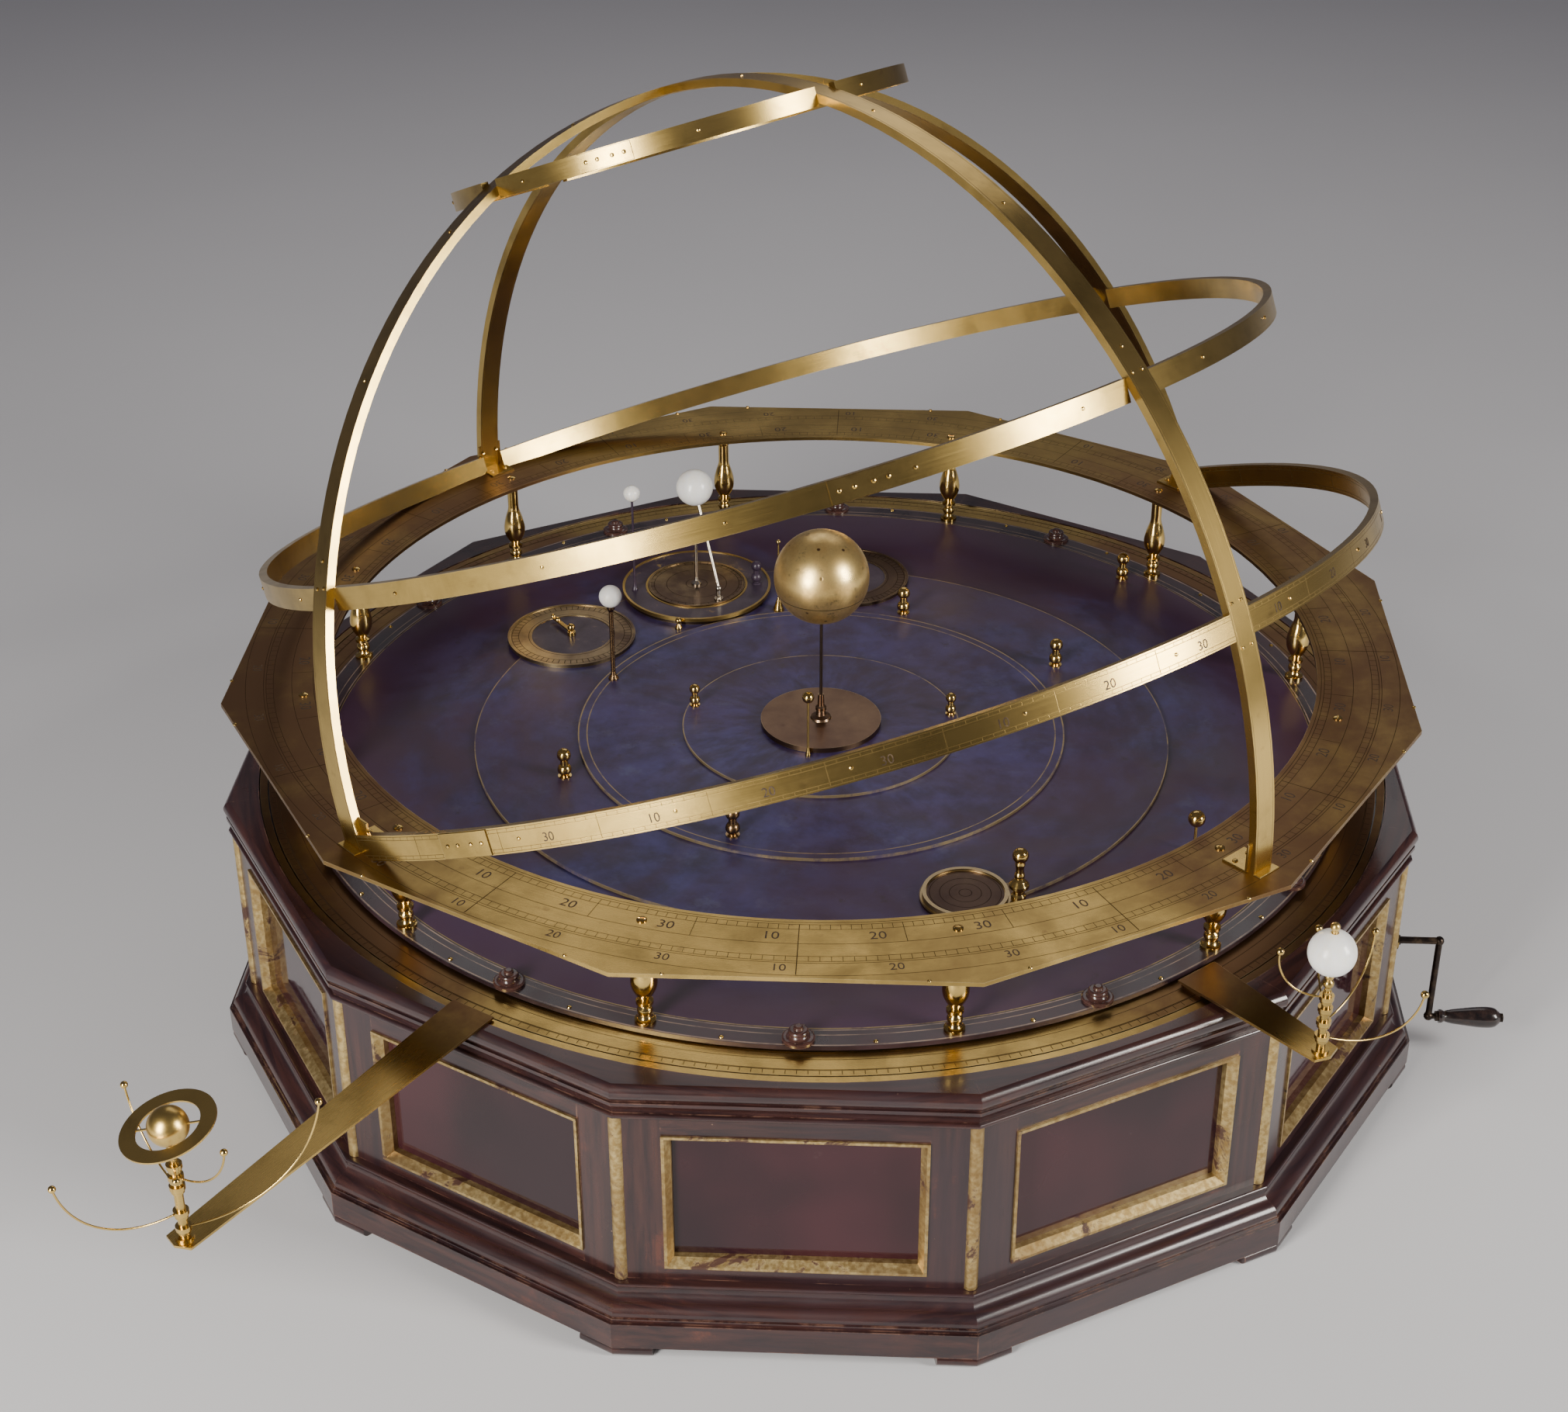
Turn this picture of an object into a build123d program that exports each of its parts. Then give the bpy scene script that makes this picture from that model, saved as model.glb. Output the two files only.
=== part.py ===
from build123d import *
from math import cos, pi, radians, sin, tan
import os

# A grand orrery: a twelve-sided table case with a hand crank, concentric plates that carry the
# planets, two outer rings that carry Jupiter and Saturn, and an armillary hemisphere above.
# Millimetres, +Z up, origin on the central axis at the level that the feet stand on.
# One flat side of the case faces -Y. Azimuths are degrees from +X towards +Y.

# ---- driving dimensions --------------------------------------------------------------------
SIDES = 12
HALF = 180 / SIDES                    # half the angle of one side
PITCH = 2 * HALF                      # azimuth step from side to side

FOOT_H = 12.0
FOOT_ANGLE = 3.2                      # half the angle that a foot spans at its corner
PLINTH_FACE = 609.0                   # distance from the axis to each flat face
FRAME_FACE = 581.5
FRAME_DEPTH = 22.0
LEDGE_FACE = 590.0
LEDGE_Z = 70.0
CORNICE_Z = 254.0
TOP_Z = 290.0
INNER_FACE = FRAME_FACE - FRAME_DEPTH - 1.5
PANEL_W = 232.0
PANEL_Z0 = 84.0
PANEL_Z1 = 233.0
MOULDING_W = 8.0
GLASS_T = 3.0
GLASS_BACK = 567.0
BOARD_T = 14.0

RING_Z0 = 285.5
RING_T = 3.5
JUPITER_RING_R = (521.0, 564.5)
SATURN_RING_R = (566.0, 573.5)
WELL_R = 574.5                        # round well in the case top that the rings lie in
BEARER_Z0 = 268.0
BEARER_Z1 = 285.0
STRIP_R = 6.3                         # gilt bead on each corner post

TABLE_R = 519.5
TABLE_Z0 = 275.0
TABLE_Z1 = 291.0
RIM_R = (507.5, 532.0)
RIM_Z1 = 295.5
TABLE_HOLE_R = 24.0

# concentric plates, from the lowest to the highest: outer radius, underside, top
MARS_PLATE = (507.0, 291.3, 295.5)
EARTH_PLATE = (357.0, 295.8, 299.0)
VENUS_PLATE = (251.0, 299.3, 302.0)
MERCURY_PLATE = (143.0, 302.3, 305.0)
COVER = (62.0, 305.5, 311.0)
COVER_SOCKET_Z = 339.0

# nested sleeves: each runs on the one inside it with RUNNING_FIT of radial clearance
RUNNING_FIT = 0.1
PILLAR_R = 6.0
MERCURY_SLEEVE_R = 9.0
VENUS_SLEEVE_R = 12.0
EARTH_SLEEVE_R = 15.0
MARS_SLEEVE_R = 19.0

# clockwork: a vertical driving arbor beside the central pillar
ARBOR_Y = -135.0
ARBOR_R = 5.0
WHEEL_T = 6.0
MERCURY_WHEEL_Z = 170.0
VENUS_WHEEL_Z = 190.0
EARTH_WHEEL_Z = 210.0
MARS_WHEEL_Z = 230.0
MERCURY_TEETH = (83, 20)              # teeth on the arbor, teeth on the planet's sleeve
VENUS_TEETH = (65, 40)
EARTH_TEETH = (52, 52)
MARS_TEETH = (42, 79)
CROWN_TEETH = 60
PINION_TEETH = 12
CROWN_MODULE = 2.0

CRANK_Z = 145.0
CRANK_THROW = 94.0
CRANK_ELBOW_X = 631.0
GRIP_X = (641.0, 703.0)

PILLAR_CIRCLE_R = 520.0
ECLIPTIC_TOP = 402.5
ECLIPTIC_T = 4.0
ECLIPTIC_CORNER_R = 600.0
ECLIPTIC_INNER_R = 496.0

SPHERE_R = 564.0                      # middle of the armillary bands
OBLIQUITY = 23.5
POLE_AZ = 135.0
BAND_T = 8.0
COLURE_W = 24.0
EQUATOR_W = 24.0
TROPIC_W = 21.0
TROPIC_R = 510.2                      # the tropic has sprung a little from its true place
TROPIC_H = 220.0
TROPIC_TILT = 22.7
TROPIC_AZ = 136.5
POLAR_W = 18.0
SLIVER = 9000.0                       # volume under which a piece of band is an offcut

SUN_R = 48.0
SUN_Z = 474.7
SUN_ROD_R = 1.6

MERCURY = dict(r=67.4, az=-99.0, z=373.0, ball=6.2)
VENUS = dict(r=240.8, az=158.8, z=401.0, ball=12.0)
MARS = dict(r=423.0, az=-30.0, z=333.0, ball=8.4)
EARTH_R = 20.4
EARTH_Z = 428.0
MOON_R = 9.2
MOON_Z = 427.0
MOON_ORBIT = 70.5
MOON_AZ = 193.5

DIAL_CIRCLE_R = 335.0                 # all dials of Earth's plate lie on this circle
EARTH_AZ = 117.0
DIAL_STEP = 30.0
EARTH_DIAL_R = 55.0
MOON_RING_R = (55.4, 84.0)
SIDE_DIAL_R = 70.0
SIDE_DIAL_T = 3.2
SIDE_WELL_R = 44.0                    # painted middle of a side dial
FRONT_DIAL_R = 43.0
FRONT_RIM_R = (37.0, 40.5)
FRONT_RIM_H = 8.5
FINIAL_AT = (376.5, -58.9)            # stands on an ear of the front dial
FINIAL_H = 57.0
EAR_R = 9.0

ARM_START = 537.5                     # inner end of Jupiter's arm, clear of the buttons
JUPITER_ARM_W = (46.0, 29.0)
SATURN_ARM_W = (46.0, 27.0)
ARM_END = 7.0                         # arm beyond the middle of its column
JUPITER = dict(r=684.0, az=-49.1, z=398.0, ball=20.8)
SATURN = dict(r=921.0, az=-120.6, z=403.5, ball=16.4)
SATURN_ARM_Z = (290.5, 292.7)
JUPITER_ARM_Z = (293.2, 295.7)
COLUMN_R = 3.8
BUTTON_AT_R = 522.0
BUTTON_R = 14.5
# satellites: orbit radius, azimuth, height of the ball, height of the collar
JUPITER_MOONS = [(43.0, 177, 396, 350), (52.0, 94, 386, 338), (64.0, 47, 388, 324),
                 (80.0, -21, 378, 309)]
SATURN_MOONS = [(38.0, -71, 380, 363), (52.6, -25, 398, 352), (73.8, 132, 398, 342),
                (98.8, -135, 398, 317), (114.7, 21, 398, 301)]
COLLAR_H = 4.0
COLLAR_R = 6.4
WIRE_R = 0.9


# ---- helpers -------------------------------------------------------------------------------
def save(name, solids):
    """Write one node, a group of separate solids."""
    group = Compound(children=[s for item in solids for s in item.solids()])
    export_step(group, f"parts/{name}.step")


def polar(r, az, z=0.0):
    return Vector(r * cos(radians(az)), r * sin(radians(az)), z)


def put(shape, r, az, z=0.0, turn=True):
    """Place a shape that was made at the origin at a radius and azimuth about the central axis."""
    p = polar(r, az)
    return Pos(p.X, p.Y, z) * (Rot(0, 0, az) * shape if turn else shape)


def disc(r, z0, z1, bore=0.0):
    body = Pos(0, 0, (z0 + z1) / 2) * Cylinder(r, z1 - z0)
    if bore > 0:
        body -= Pos(0, 0, (z0 + z1) / 2) * Cylinder(bore, z1 - z0 + 2)
    return body


def polygon_prism(face, z0, z1):
    """A twelve-sided prism whose flat sides are at a distance face from the axis."""
    outline = Rot(0, 0, HALF) * RegularPolygon(face / cos(radians(HALF)), SIDES)
    return Pos(0, 0, z0) * extrude(outline, z1 - z0)


def around(solid):
    return [Rot(0, 0, k * PITCH) * solid for k in range(SIDES)]


def wedge(angle, z0, z1, reach=760.0):
    """A slice of the round, angle degrees to each side of +X."""
    half = reach * tan(radians(angle))
    outline = make_face(Polyline((0, 0), (reach, -half), (reach, half), close=True))
    return Pos(0, 0, z0) * extrude(outline, z1 - z0)


def side_length(profile, z0, z1):
    """One mitred length of moulding on the side that faces +X, from a profile in (x, z)."""
    face = Plane.XZ * profile
    length = 340.0
    run = extrude(face, length / 2, both=True)
    return run & wedge(HALF, z0 - 5, z1 + 5)


def turned(points):
    """A turned piece from half of its outline: (radius, height) pairs or curves."""
    return revolve(Plane.XZ * make_face(points), Axis.Z)


def outline(*points):
    return Polyline(*points, close=True)


def wheel(teeth, module, thickness, bore, phase=0.0):
    """A flat wheel with short trapezoid teeth and one tooth centred at azimuth phase."""
    pitch_r = module * teeth / 2
    tip_r = pitch_r + 0.6 * module
    root_r = pitch_r - 1.0 * module
    step = 2 * pi / teeth
    points = []
    for k in range(teeth):
        middle = radians(phase) + k * step
        for r, share in ((root_r, -0.25), (tip_r, -0.11), (tip_r, 0.11), (root_r, 0.25)):
            angle = middle + share * step
            points.append((r * cos(angle), r * sin(angle)))
    blank = extrude(make_face(Polyline(*points, close=True)), thickness)
    return blank - Pos(0, 0, thickness / 2) * Cylinder(bore, thickness + 2)


def lightened(blank, rim_r, hub_r, thickness, arms=4):
    """Cross out a wheel, leaving a rim, a hub and straight arms."""
    ring = Cylinder(rim_r, thickness + 2) - Cylinder(hub_r, thickness + 4)
    for k in range(arms // 2):
        ring -= Rot(0, 0, 360 * k / arms) * Box(2 * rim_r, 9, thickness + 4)
    return blank - Pos(0, 0, thickness / 2) * ring


def ball(r, z):
    return Pos(0, 0, z) * Sphere(r)


def knob(z, size=1.0):
    """A turned knob: two balls on a thin foot, 32 mm high at size 1."""
    body = disc(6.8 * size, z, z + 1.2) + disc(4.0 * size, z, z + 24 * size)
    return body + ball(7.1 * size, z + 8.4 * size) + ball(7.1 * size, z + 24.9 * size) & disc(
        12, z, z + 40)


def stem(z0, z1, r, foot_r):
    """A planet's thin stem on a small turned foot."""
    foot = turned(outline((0, z0), (foot_r, z0), (foot_r, z0 + 1.5), (r + 0.8, z0 + 5),
                          (r, z0 + 9), (0, z0 + 9)))
    return foot + disc(r, z0, z1)


# ---- case ----------------------------------------------------------------------------------
def case_parts():
    cushion = make_face(
        Polyline((PLINTH_FACE - 5, FOOT_H), (PLINTH_FACE - 24, FOOT_H), (PLINTH_FACE - 24, 0),
                 (PLINTH_FACE - 6, 0))
        + ThreePointArc((PLINTH_FACE - 6, 0), (PLINTH_FACE - 0.5, 6.5), (PLINTH_FACE - 5, FOOT_H)))
    length = side_length(cushion, 0, FOOT_H)
    foot = (length + Rot(0, 0, PITCH) * length) & Rot(0, 0, HALF) * wedge(FOOT_ANGLE, 0, FOOT_H)
    save("bracket_feet", around(foot))

    # from the ledge down: a bead, a hollow, a round shoulder, a fillet and the plinth
    base = make_face(
        Polyline((604.5, 43.5), (606.2, 43.5), (606.2, 39.5), (PLINTH_FACE, 39.5), (PLINTH_FACE, FOOT_H),
                 (INNER_FACE, FOOT_H), (INNER_FACE, LEDGE_Z), (LEDGE_FACE - 1.6, LEDGE_Z))
        + ThreePointArc((LEDGE_FACE - 1.6, LEDGE_Z), (LEDGE_FACE + 0.4, 68), (LEDGE_FACE - 1.6, 66))
        + Line((LEDGE_FACE - 1.6, 66), (LEDGE_FACE - 1.6, 64.5))
        + ThreePointArc((LEDGE_FACE - 1.6, 64.5), (590.4, 58.0), (595.5, 54.5))
        + ThreePointArc((595.5, 54.5), (602.4, 50.4), (604.5, 43.5)))
    save("base_moulding", around(side_length(base, FOOT_H, LEDGE_Z)))
    save("base_board", [polygon_prism(INNER_FACE, FOOT_H, FOOT_H + BOARD_T)])

    frame = polygon_prism(FRAME_FACE, LEDGE_Z, CORNICE_Z)
    frame -= polygon_prism(FRAME_FACE - FRAME_DEPTH, LEDGE_Z - 1, CORNICE_Z + 1)
    opening = Pos(FRAME_FACE - 10, 0, (LEDGE_Z + CORNICE_Z) / 2) * Box(60, PANEL_W, 400)
    corner = frame & Rot(0, 0, HALF) * wedge(HALF, LEDGE_Z, CORNICE_Z)
    post = corner - opening - Rot(0, 0, PITCH) * opening
    # the strip is a half-round gilt bead on the corner edge of each post
    corner_r = FRAME_FACE / cos(radians(HALF)) - 3
    bead = put(disc(STRIP_R, LEDGE_Z + 0.5, CORNICE_Z - 0.5), corner_r, HALF)
    save("corner_strips", around(bead - post))
    posts = around(post)
    crank_hole = Pos(FRAME_FACE, ARBOR_Y, CRANK_Z) * Rot(0, 90, 0) * Cylinder(9, 120)
    posts[-1] = posts[-1] - crank_hole
    save("corner_posts", posts)

    rails = []
    for z0, z1 in ((LEDGE_Z, PANEL_Z0), (PANEL_Z1, CORNICE_Z)):
        x = FRAME_FACE - FRAME_DEPTH / 2
        rails += around(Pos(x, 0, (z0 + z1) / 2) * Box(FRAME_DEPTH, PANEL_W, z1 - z0))
    save("panel_rails", rails)

    height = PANEL_Z1 - PANEL_Z0
    middle = (PANEL_Z0 + PANEL_Z1) / 2
    x0, x1 = GLASS_BACK + GLASS_T, FRAME_FACE + 2
    moulding = Pos((x0 + x1) / 2, 0, middle) * Box(x1 - x0, PANEL_W, height)
    mouth = [Plane(origin=(x, 0, middle), x_dir=(0, 1, 0), z_dir=(1, 0, 0))
             * Rectangle(PANEL_W - 2 * edge, height - 2 * edge)
             for x, edge in ((x0 - 0.5, MOULDING_W), (x0 + 6, MOULDING_W), (x1 + 0.5, 2.4))]
    moulding -= loft(mouth[:2]) + loft(mouth[1:])
    save("panel_mouldings", around(moulding))
    pane = Pos(GLASS_BACK + GLASS_T / 2, 0, middle) * Box(GLASS_T, PANEL_W - 1, height - 1)
    save("glass_panes", around(pane))

    well = disc(WELL_R, BEARER_Z0, TOP_Z + 5)
    # from the top down: a bold round, a fillet, a hollow, a fillet and a small bead
    cornice = make_face(
        Polyline((583.4, TOP_Z), (480, TOP_Z), (480, BEARER_Z0), (INNER_FACE, BEARER_Z0),
                 (INNER_FACE, CORNICE_Z), (585.2, CORNICE_Z))
        + ThreePointArc((585.2, CORNICE_Z), (587.4, 256.4), (585.2, 258.8))
        + Polyline((585.2, 258.8), (583.6, 258.8), (583.6, 260))
        + ThreePointArc((583.6, 260), (584.8, 265.0), (588, 269))
        + Polyline((588, 269), (588, 272.5), (585.6, 272.5), (585.6, 274))
        + ThreePointArc((585.6, 274), (589.9, 281.2), (583.4, TOP_Z)))
    run = side_length(cornice, CORNICE_Z, TOP_Z) - well
    save("cornice", around(run))
    save("ring_bearer", [disc(WELL_R - 0.5, BEARER_Z0, BEARER_Z1, JUPITER_RING_R[0])])


# ---- fixed table and sky ---------------------------------------------------------------------
def table_parts():
    board = disc(TABLE_R, TABLE_Z0, TABLE_Z1, TABLE_HOLE_R)
    save("table_board", [board])
    leg = turned(outline((0, 30), (18, 30), (18, 38), (11, 46), (11, 258), (18, 266), (18, 275), (0, 275)))
    save("table_legs", [put(leg, 440, 60 * k) for k in range(6)])
    save("table_rim", [disc(RIM_R[1], TABLE_Z1, RIM_Z1, RIM_R[0])])

    z = RIM_Z1
    button = turned(
        Polyline((0, z), (BUTTON_R, z), (BUTTON_R, z + 2.6), (BUTTON_R - 1.5, z + 3.4))
        + ThreePointArc((BUTTON_R - 1.5, z + 3.4), (9.2, z + 4.2), (7.6, z + 6.5))
        + ThreePointArc((7.6, z + 6.5), (9.0, z + 9.0), (6.4, z + 11.2))
        + Polyline((6.4, z + 11.2), (4.6, z + 11.2), (4.2, z + 13.4), (2.6, z + 14.4),
                   (0, z + 14.4), (0, z)))
    save("hold_down_buttons", [put(button, BUTTON_AT_R, PITCH * k) for k in range(SIDES)])

    z0, z1 = RIM_Z1, ECLIPTIC_TOP - ECLIPTIC_T
    pillar = turned(
        Polyline((0, z0), (9.5, z0), (9.5, z0 + 3))
        + RadiusArc((9.5, z0 + 3), (5.0, z0 + 8), 7)
        + RadiusArc((5.0, z0 + 8), (5.0, z0 + 17), -5.8)
        + Polyline((5.0, z0 + 17), (4.2, z0 + 18), (7.8, z0 + 20), (7.8, z0 + 23), (4.6, z0 + 25))
        + Spline((4.6, z0 + 25), (12.0, z0 + 42), (7.6, z0 + 64), (6.0, z0 + 92),
                 tangents=((0.7, 1), (0, 1)))
        + Polyline((6.0, z0 + 92), (8.5, z0 + 95), (8.5, z1), (0, z1), (0, z0)))
    save("ecliptic_pillars", [put(pillar, PILLAR_CIRCLE_R, HALF + PITCH * k)
                              for k in range(SIDES)])

    ring = polygon_prism(ECLIPTIC_CORNER_R * cos(radians(HALF)), z1, ECLIPTIC_TOP)
    save("ecliptic_ring", [ring - disc(ECLIPTIC_INNER_R, z1 - 1, ECLIPTIC_TOP + 1)])
    head = turned(Polyline((0, ECLIPTIC_TOP), (4.6, ECLIPTIC_TOP), (4.6, ECLIPTIC_TOP + 0.8))
                  + RadiusArc((4.6, ECLIPTIC_TOP + 0.8), (0, ECLIPTIC_TOP + 2.2), -6)
                  + Polyline((0, ECLIPTIC_TOP + 2.2), (0, ECLIPTIC_TOP)))
    head -= Pos(0, 0, ECLIPTIC_TOP + 2.2) * Box(0.9, 12, 1.4)
    save("ecliptic_screws", [put(head, PILLAR_CIRCLE_R, HALF + PITCH * k) for k in range(SIDES)])


def whole(bands):
    """Leave out the thin offcuts where two bands cross at the ring."""
    return [s for band in bands for s in band.solids() if s.volume > SLIVER]


def hoop(radius, width, axis, height):
    """A flat strip bent into a hoop about an axis through the sphere's centre."""
    centre = Vector(0, 0, ECLIPTIC_TOP) + axis * height
    strip = Cylinder(radius + BAND_T / 2, width) - Cylinder(radius - BAND_T / 2, width + 2)
    return Plane(origin=centre, z_dir=axis) * strip


def crossing(axis):
    """The slab that a colure band lies in: the other bands stop at its two sides."""
    return Plane(origin=(0, 0, ECLIPTIC_TOP), z_dir=axis) * Box(1400, 1400, COLURE_W + 0.2)


def sky_parts():
    tilt = radians(OBLIQUITY)
    pole = polar(sin(tilt), POLE_AZ, cos(tilt))
    across = polar(1, POLE_AZ - 90)
    tilted = polar(cos(tilt), POLE_AZ + 180, sin(tilt))
    above = Pos(0, 0, ECLIPTIC_TOP + 500) * Box(1400, 1400, 1000)
    first, second = crossing(across), crossing(tilted)
    solstitial = hoop(SPHERE_R, COLURE_W, across, 0) & above
    equinoctial = (hoop(SPHERE_R, COLURE_W, tilted, 0) & above) - first
    equator = (hoop(SPHERE_R, EQUATOR_W, pole, 0) & above) - first - second
    lean = radians(TROPIC_TILT)
    tropic_pole = polar(sin(lean), TROPIC_AZ, cos(lean))
    tropic = (hoop(TROPIC_R, TROPIC_W, tropic_pole, TROPIC_H) & above) - first - second
    polar_circle = hoop(SPHERE_R * sin(tilt), POLAR_W, pole, SPHERE_R * cos(tilt)) - first - second
    save("colure_bands", whole([solstitial, equinoctial]))
    save("sky_circles", whole([equator, tropic, polar_circle]))


# ---- clockwork -----------------------------------------------------------------------------
def rod_along_x(r, x0, x1, z):
    """A round rod of the crank's shaft, over the driving arbor's line."""
    return Pos((x0 + x1) / 2, ARBOR_Y, z) * Rot(0, 90, 0) * Cylinder(r, x1 - x0)


def clockwork_parts():
    floor = FOOT_H + BOARD_T
    shoulder_z = MERCURY_WHEEL_Z - 9
    pillar = disc(30, floor, floor + 6) + disc(PILLAR_R, floor, COVER[1])
    save("central_pillar", [pillar + disc(14, shoulder_z, shoulder_z + 4)])
    z = COVER[2]
    socket = disc(COVER[0], COVER[1], z) + turned(outline(
        (0, z), (11, z), (10, z + 2), (5.5, z + 4), (4.5, z + 9), (5.6, z + 10), (5.6, z + 13),
        (3.6, z + 15), (3.0, COVER_SOCKET_Z), (0, COVER_SOCKET_Z)))
    socket -= disc(SUN_ROD_R + RUNNING_FIT, z + 2, COVER_SOCKET_Z + 1)
    save("sun_socket", [socket])

    sleeves = [
        ("mercury_wheel", MERCURY_TEETH, MERCURY_WHEEL_Z, PILLAR_R, MERCURY_SLEEVE_R, MERCURY_PLATE[1]),
        ("venus_wheel", VENUS_TEETH, VENUS_WHEEL_Z, MERCURY_SLEEVE_R, VENUS_SLEEVE_R, VENUS_PLATE[1]),
        ("earth_wheel", EARTH_TEETH, EARTH_WHEEL_Z, VENUS_SLEEVE_R, EARTH_SLEEVE_R, EARTH_PLATE[1]),
        ("mars_wheel", MARS_TEETH, MARS_WHEEL_Z, EARTH_SLEEVE_R, MARS_SLEEVE_R, MARS_PLATE[1]),
    ]
    drivers = []
    for name, (driver_teeth, teeth), z, inner_r, outer_r, top in sleeves:
        module = 2 * abs(ARBOR_Y) / (driver_teeth + teeth)
        bore = inner_r + RUNNING_FIT
        driven = wheel(teeth, module, WHEEL_T, bore, -90)
        pitch_r = module * teeth / 2
        if pitch_r > 40:
            driven = lightened(driven, pitch_r - 9, outer_r + 6, WHEEL_T)
        sleeve = disc(outer_r, z - 4, top, bore)
        save(name, [Pos(0, 0, z) * driven + sleeve])
        driver = wheel(driver_teeth, module, WHEEL_T, ARBOR_R, 90 + 180 / driver_teeth)
        driver = lightened(driver, module * driver_teeth / 2 - 9, ARBOR_R + 9, WHEEL_T)
        drivers.append(Pos(0, ARBOR_Y, z) * driver)

    crown_r = CROWN_MODULE * CROWN_TEETH / 2
    crown = disc(crown_r + 4, 0, 5, ARBOR_R)
    crown = lightened(crown, crown_r - 12, ARBOR_R + 9, 5)
    tooth = Pos(crown_r, 0, 7.6) * Box(8, 2.1, 5.3)
    for k in range(CROWN_TEETH):
        crown += Rot(0, 0, (k + 0.5) * 360 / CROWN_TEETH) * tooth
    pinion_r = CROWN_MODULE * PINION_TEETH / 2
    crown_z = CRANK_Z - pinion_r - 9.0
    drivers.append(Pos(0, ARBOR_Y, crown_z) * crown)
    arbor = disc(ARBOR_R, floor + 4, 262) + disc(3, 262, 270)
    save("driving_arbor", drivers + [Pos(0, ARBOR_Y, 0) * arbor])
    foot = disc(16, floor, floor + 12) - disc(ARBOR_R + RUNNING_FIT, floor + 4, floor + 13)
    cock = Pos(0, 0, 269.5) * Box(40, 40, 11) - disc(3 + RUNNING_FIT, 262, 276)

    pinion = Rot(0, 90, 0) * wheel(PINION_TEETH, CROWN_MODULE, 8, 2, 0)
    pinion = Pos(crown_r - 4, ARBOR_Y, CRANK_Z) * pinion
    thick = (crown_r - 6, FRAME_FACE + 10)
    low = CRANK_Z - CRANK_THROW
    shaft = rod_along_x(ARBOR_R, *thick, CRANK_Z) + rod_along_x(3.6, thick[1], CRANK_ELBOW_X, CRANK_Z)
    spindle = rod_along_x(3.0, CRANK_ELBOW_X, GRIP_X[1] + 3, low)
    collar = rod_along_x(5.2, GRIP_X[0] - 3.3, GRIP_X[0] - 0.3, low)
    cap = rod_along_x(4.6, GRIP_X[1] + 0.5, GRIP_X[1] + 3.5, low)
    arm_rod = Pos(CRANK_ELBOW_X, ARBOR_Y, CRANK_Z - CRANK_THROW / 2) * Cylinder(3.3, CRANK_THROW)
    joints = [Pos(CRANK_ELBOW_X, ARBOR_Y, z) * Sphere(4.8) for z in (CRANK_Z, low)]
    save("crank_shaft", [shaft + pinion + arm_rod + joints[0] + joints[1] + spindle + collar + cap])

    length = GRIP_X[1] - GRIP_X[0]
    grip = turned(
        Polyline((3.1, 0), (7.0, 0), (7.0, 3), (5.4, 6))
        + Spline((5.4, 6), (8.5, 22), (10.8, 44), (8.5, length - 3), tangents=((0.4, 1), (-0.9, 1)))
        + Polyline((8.5, length - 3), (6, length), (3.1, length), (3.1, 0)))
    save("crank_grip", [Pos(GRIP_X[0], ARBOR_Y, CRANK_Z - CRANK_THROW) * Rot(0, 90, 0) * grip])

    plate_x = FRAME_FACE
    bush = Pos(plate_x + 1.5, 0, 0) * Rot(0, 90, 0) * Cylinder(13, 3)
    bush += Pos(plate_x + 5, 0, 0) * Rot(0, 90, 0) * Cylinder(9.5, 5)
    bush += Pos(plate_x - 11, 0, 0) * Rot(0, 90, 0) * Cylinder(9, 22)
    bush -= Pos(plate_x, 0, 0) * Rot(0, 90, 0) * Cylinder(ARBOR_R + RUNNING_FIT, 60)
    cock_h = CRANK_Z + 14 - floor
    inner = Pos(crown_r + 22, 0, floor + cock_h / 2 - CRANK_Z) * Box(12, 34, cock_h)
    inner += Pos(crown_r + 22, 0, floor + 4 - CRANK_Z) * Box(40, 60, 8)
    inner -= Pos(crown_r + 22, 0, 0) * Rot(0, 90, 0) * Cylinder(ARBOR_R + RUNNING_FIT, 60)
    save("bearings", [Pos(0, ARBOR_Y, 0) * foot, Pos(0, ARBOR_Y, 0) * cock,
                      Pos(0, ARBOR_Y, CRANK_Z) * bush, Pos(0, ARBOR_Y, CRANK_Z) * inner])


# ---- planets on the plates -------------------------------------------------------------------
def plate(spec, bore_r):
    r, z0, z1 = spec
    return disc(r, z0, z1, bore_r + RUNNING_FIT)


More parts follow.
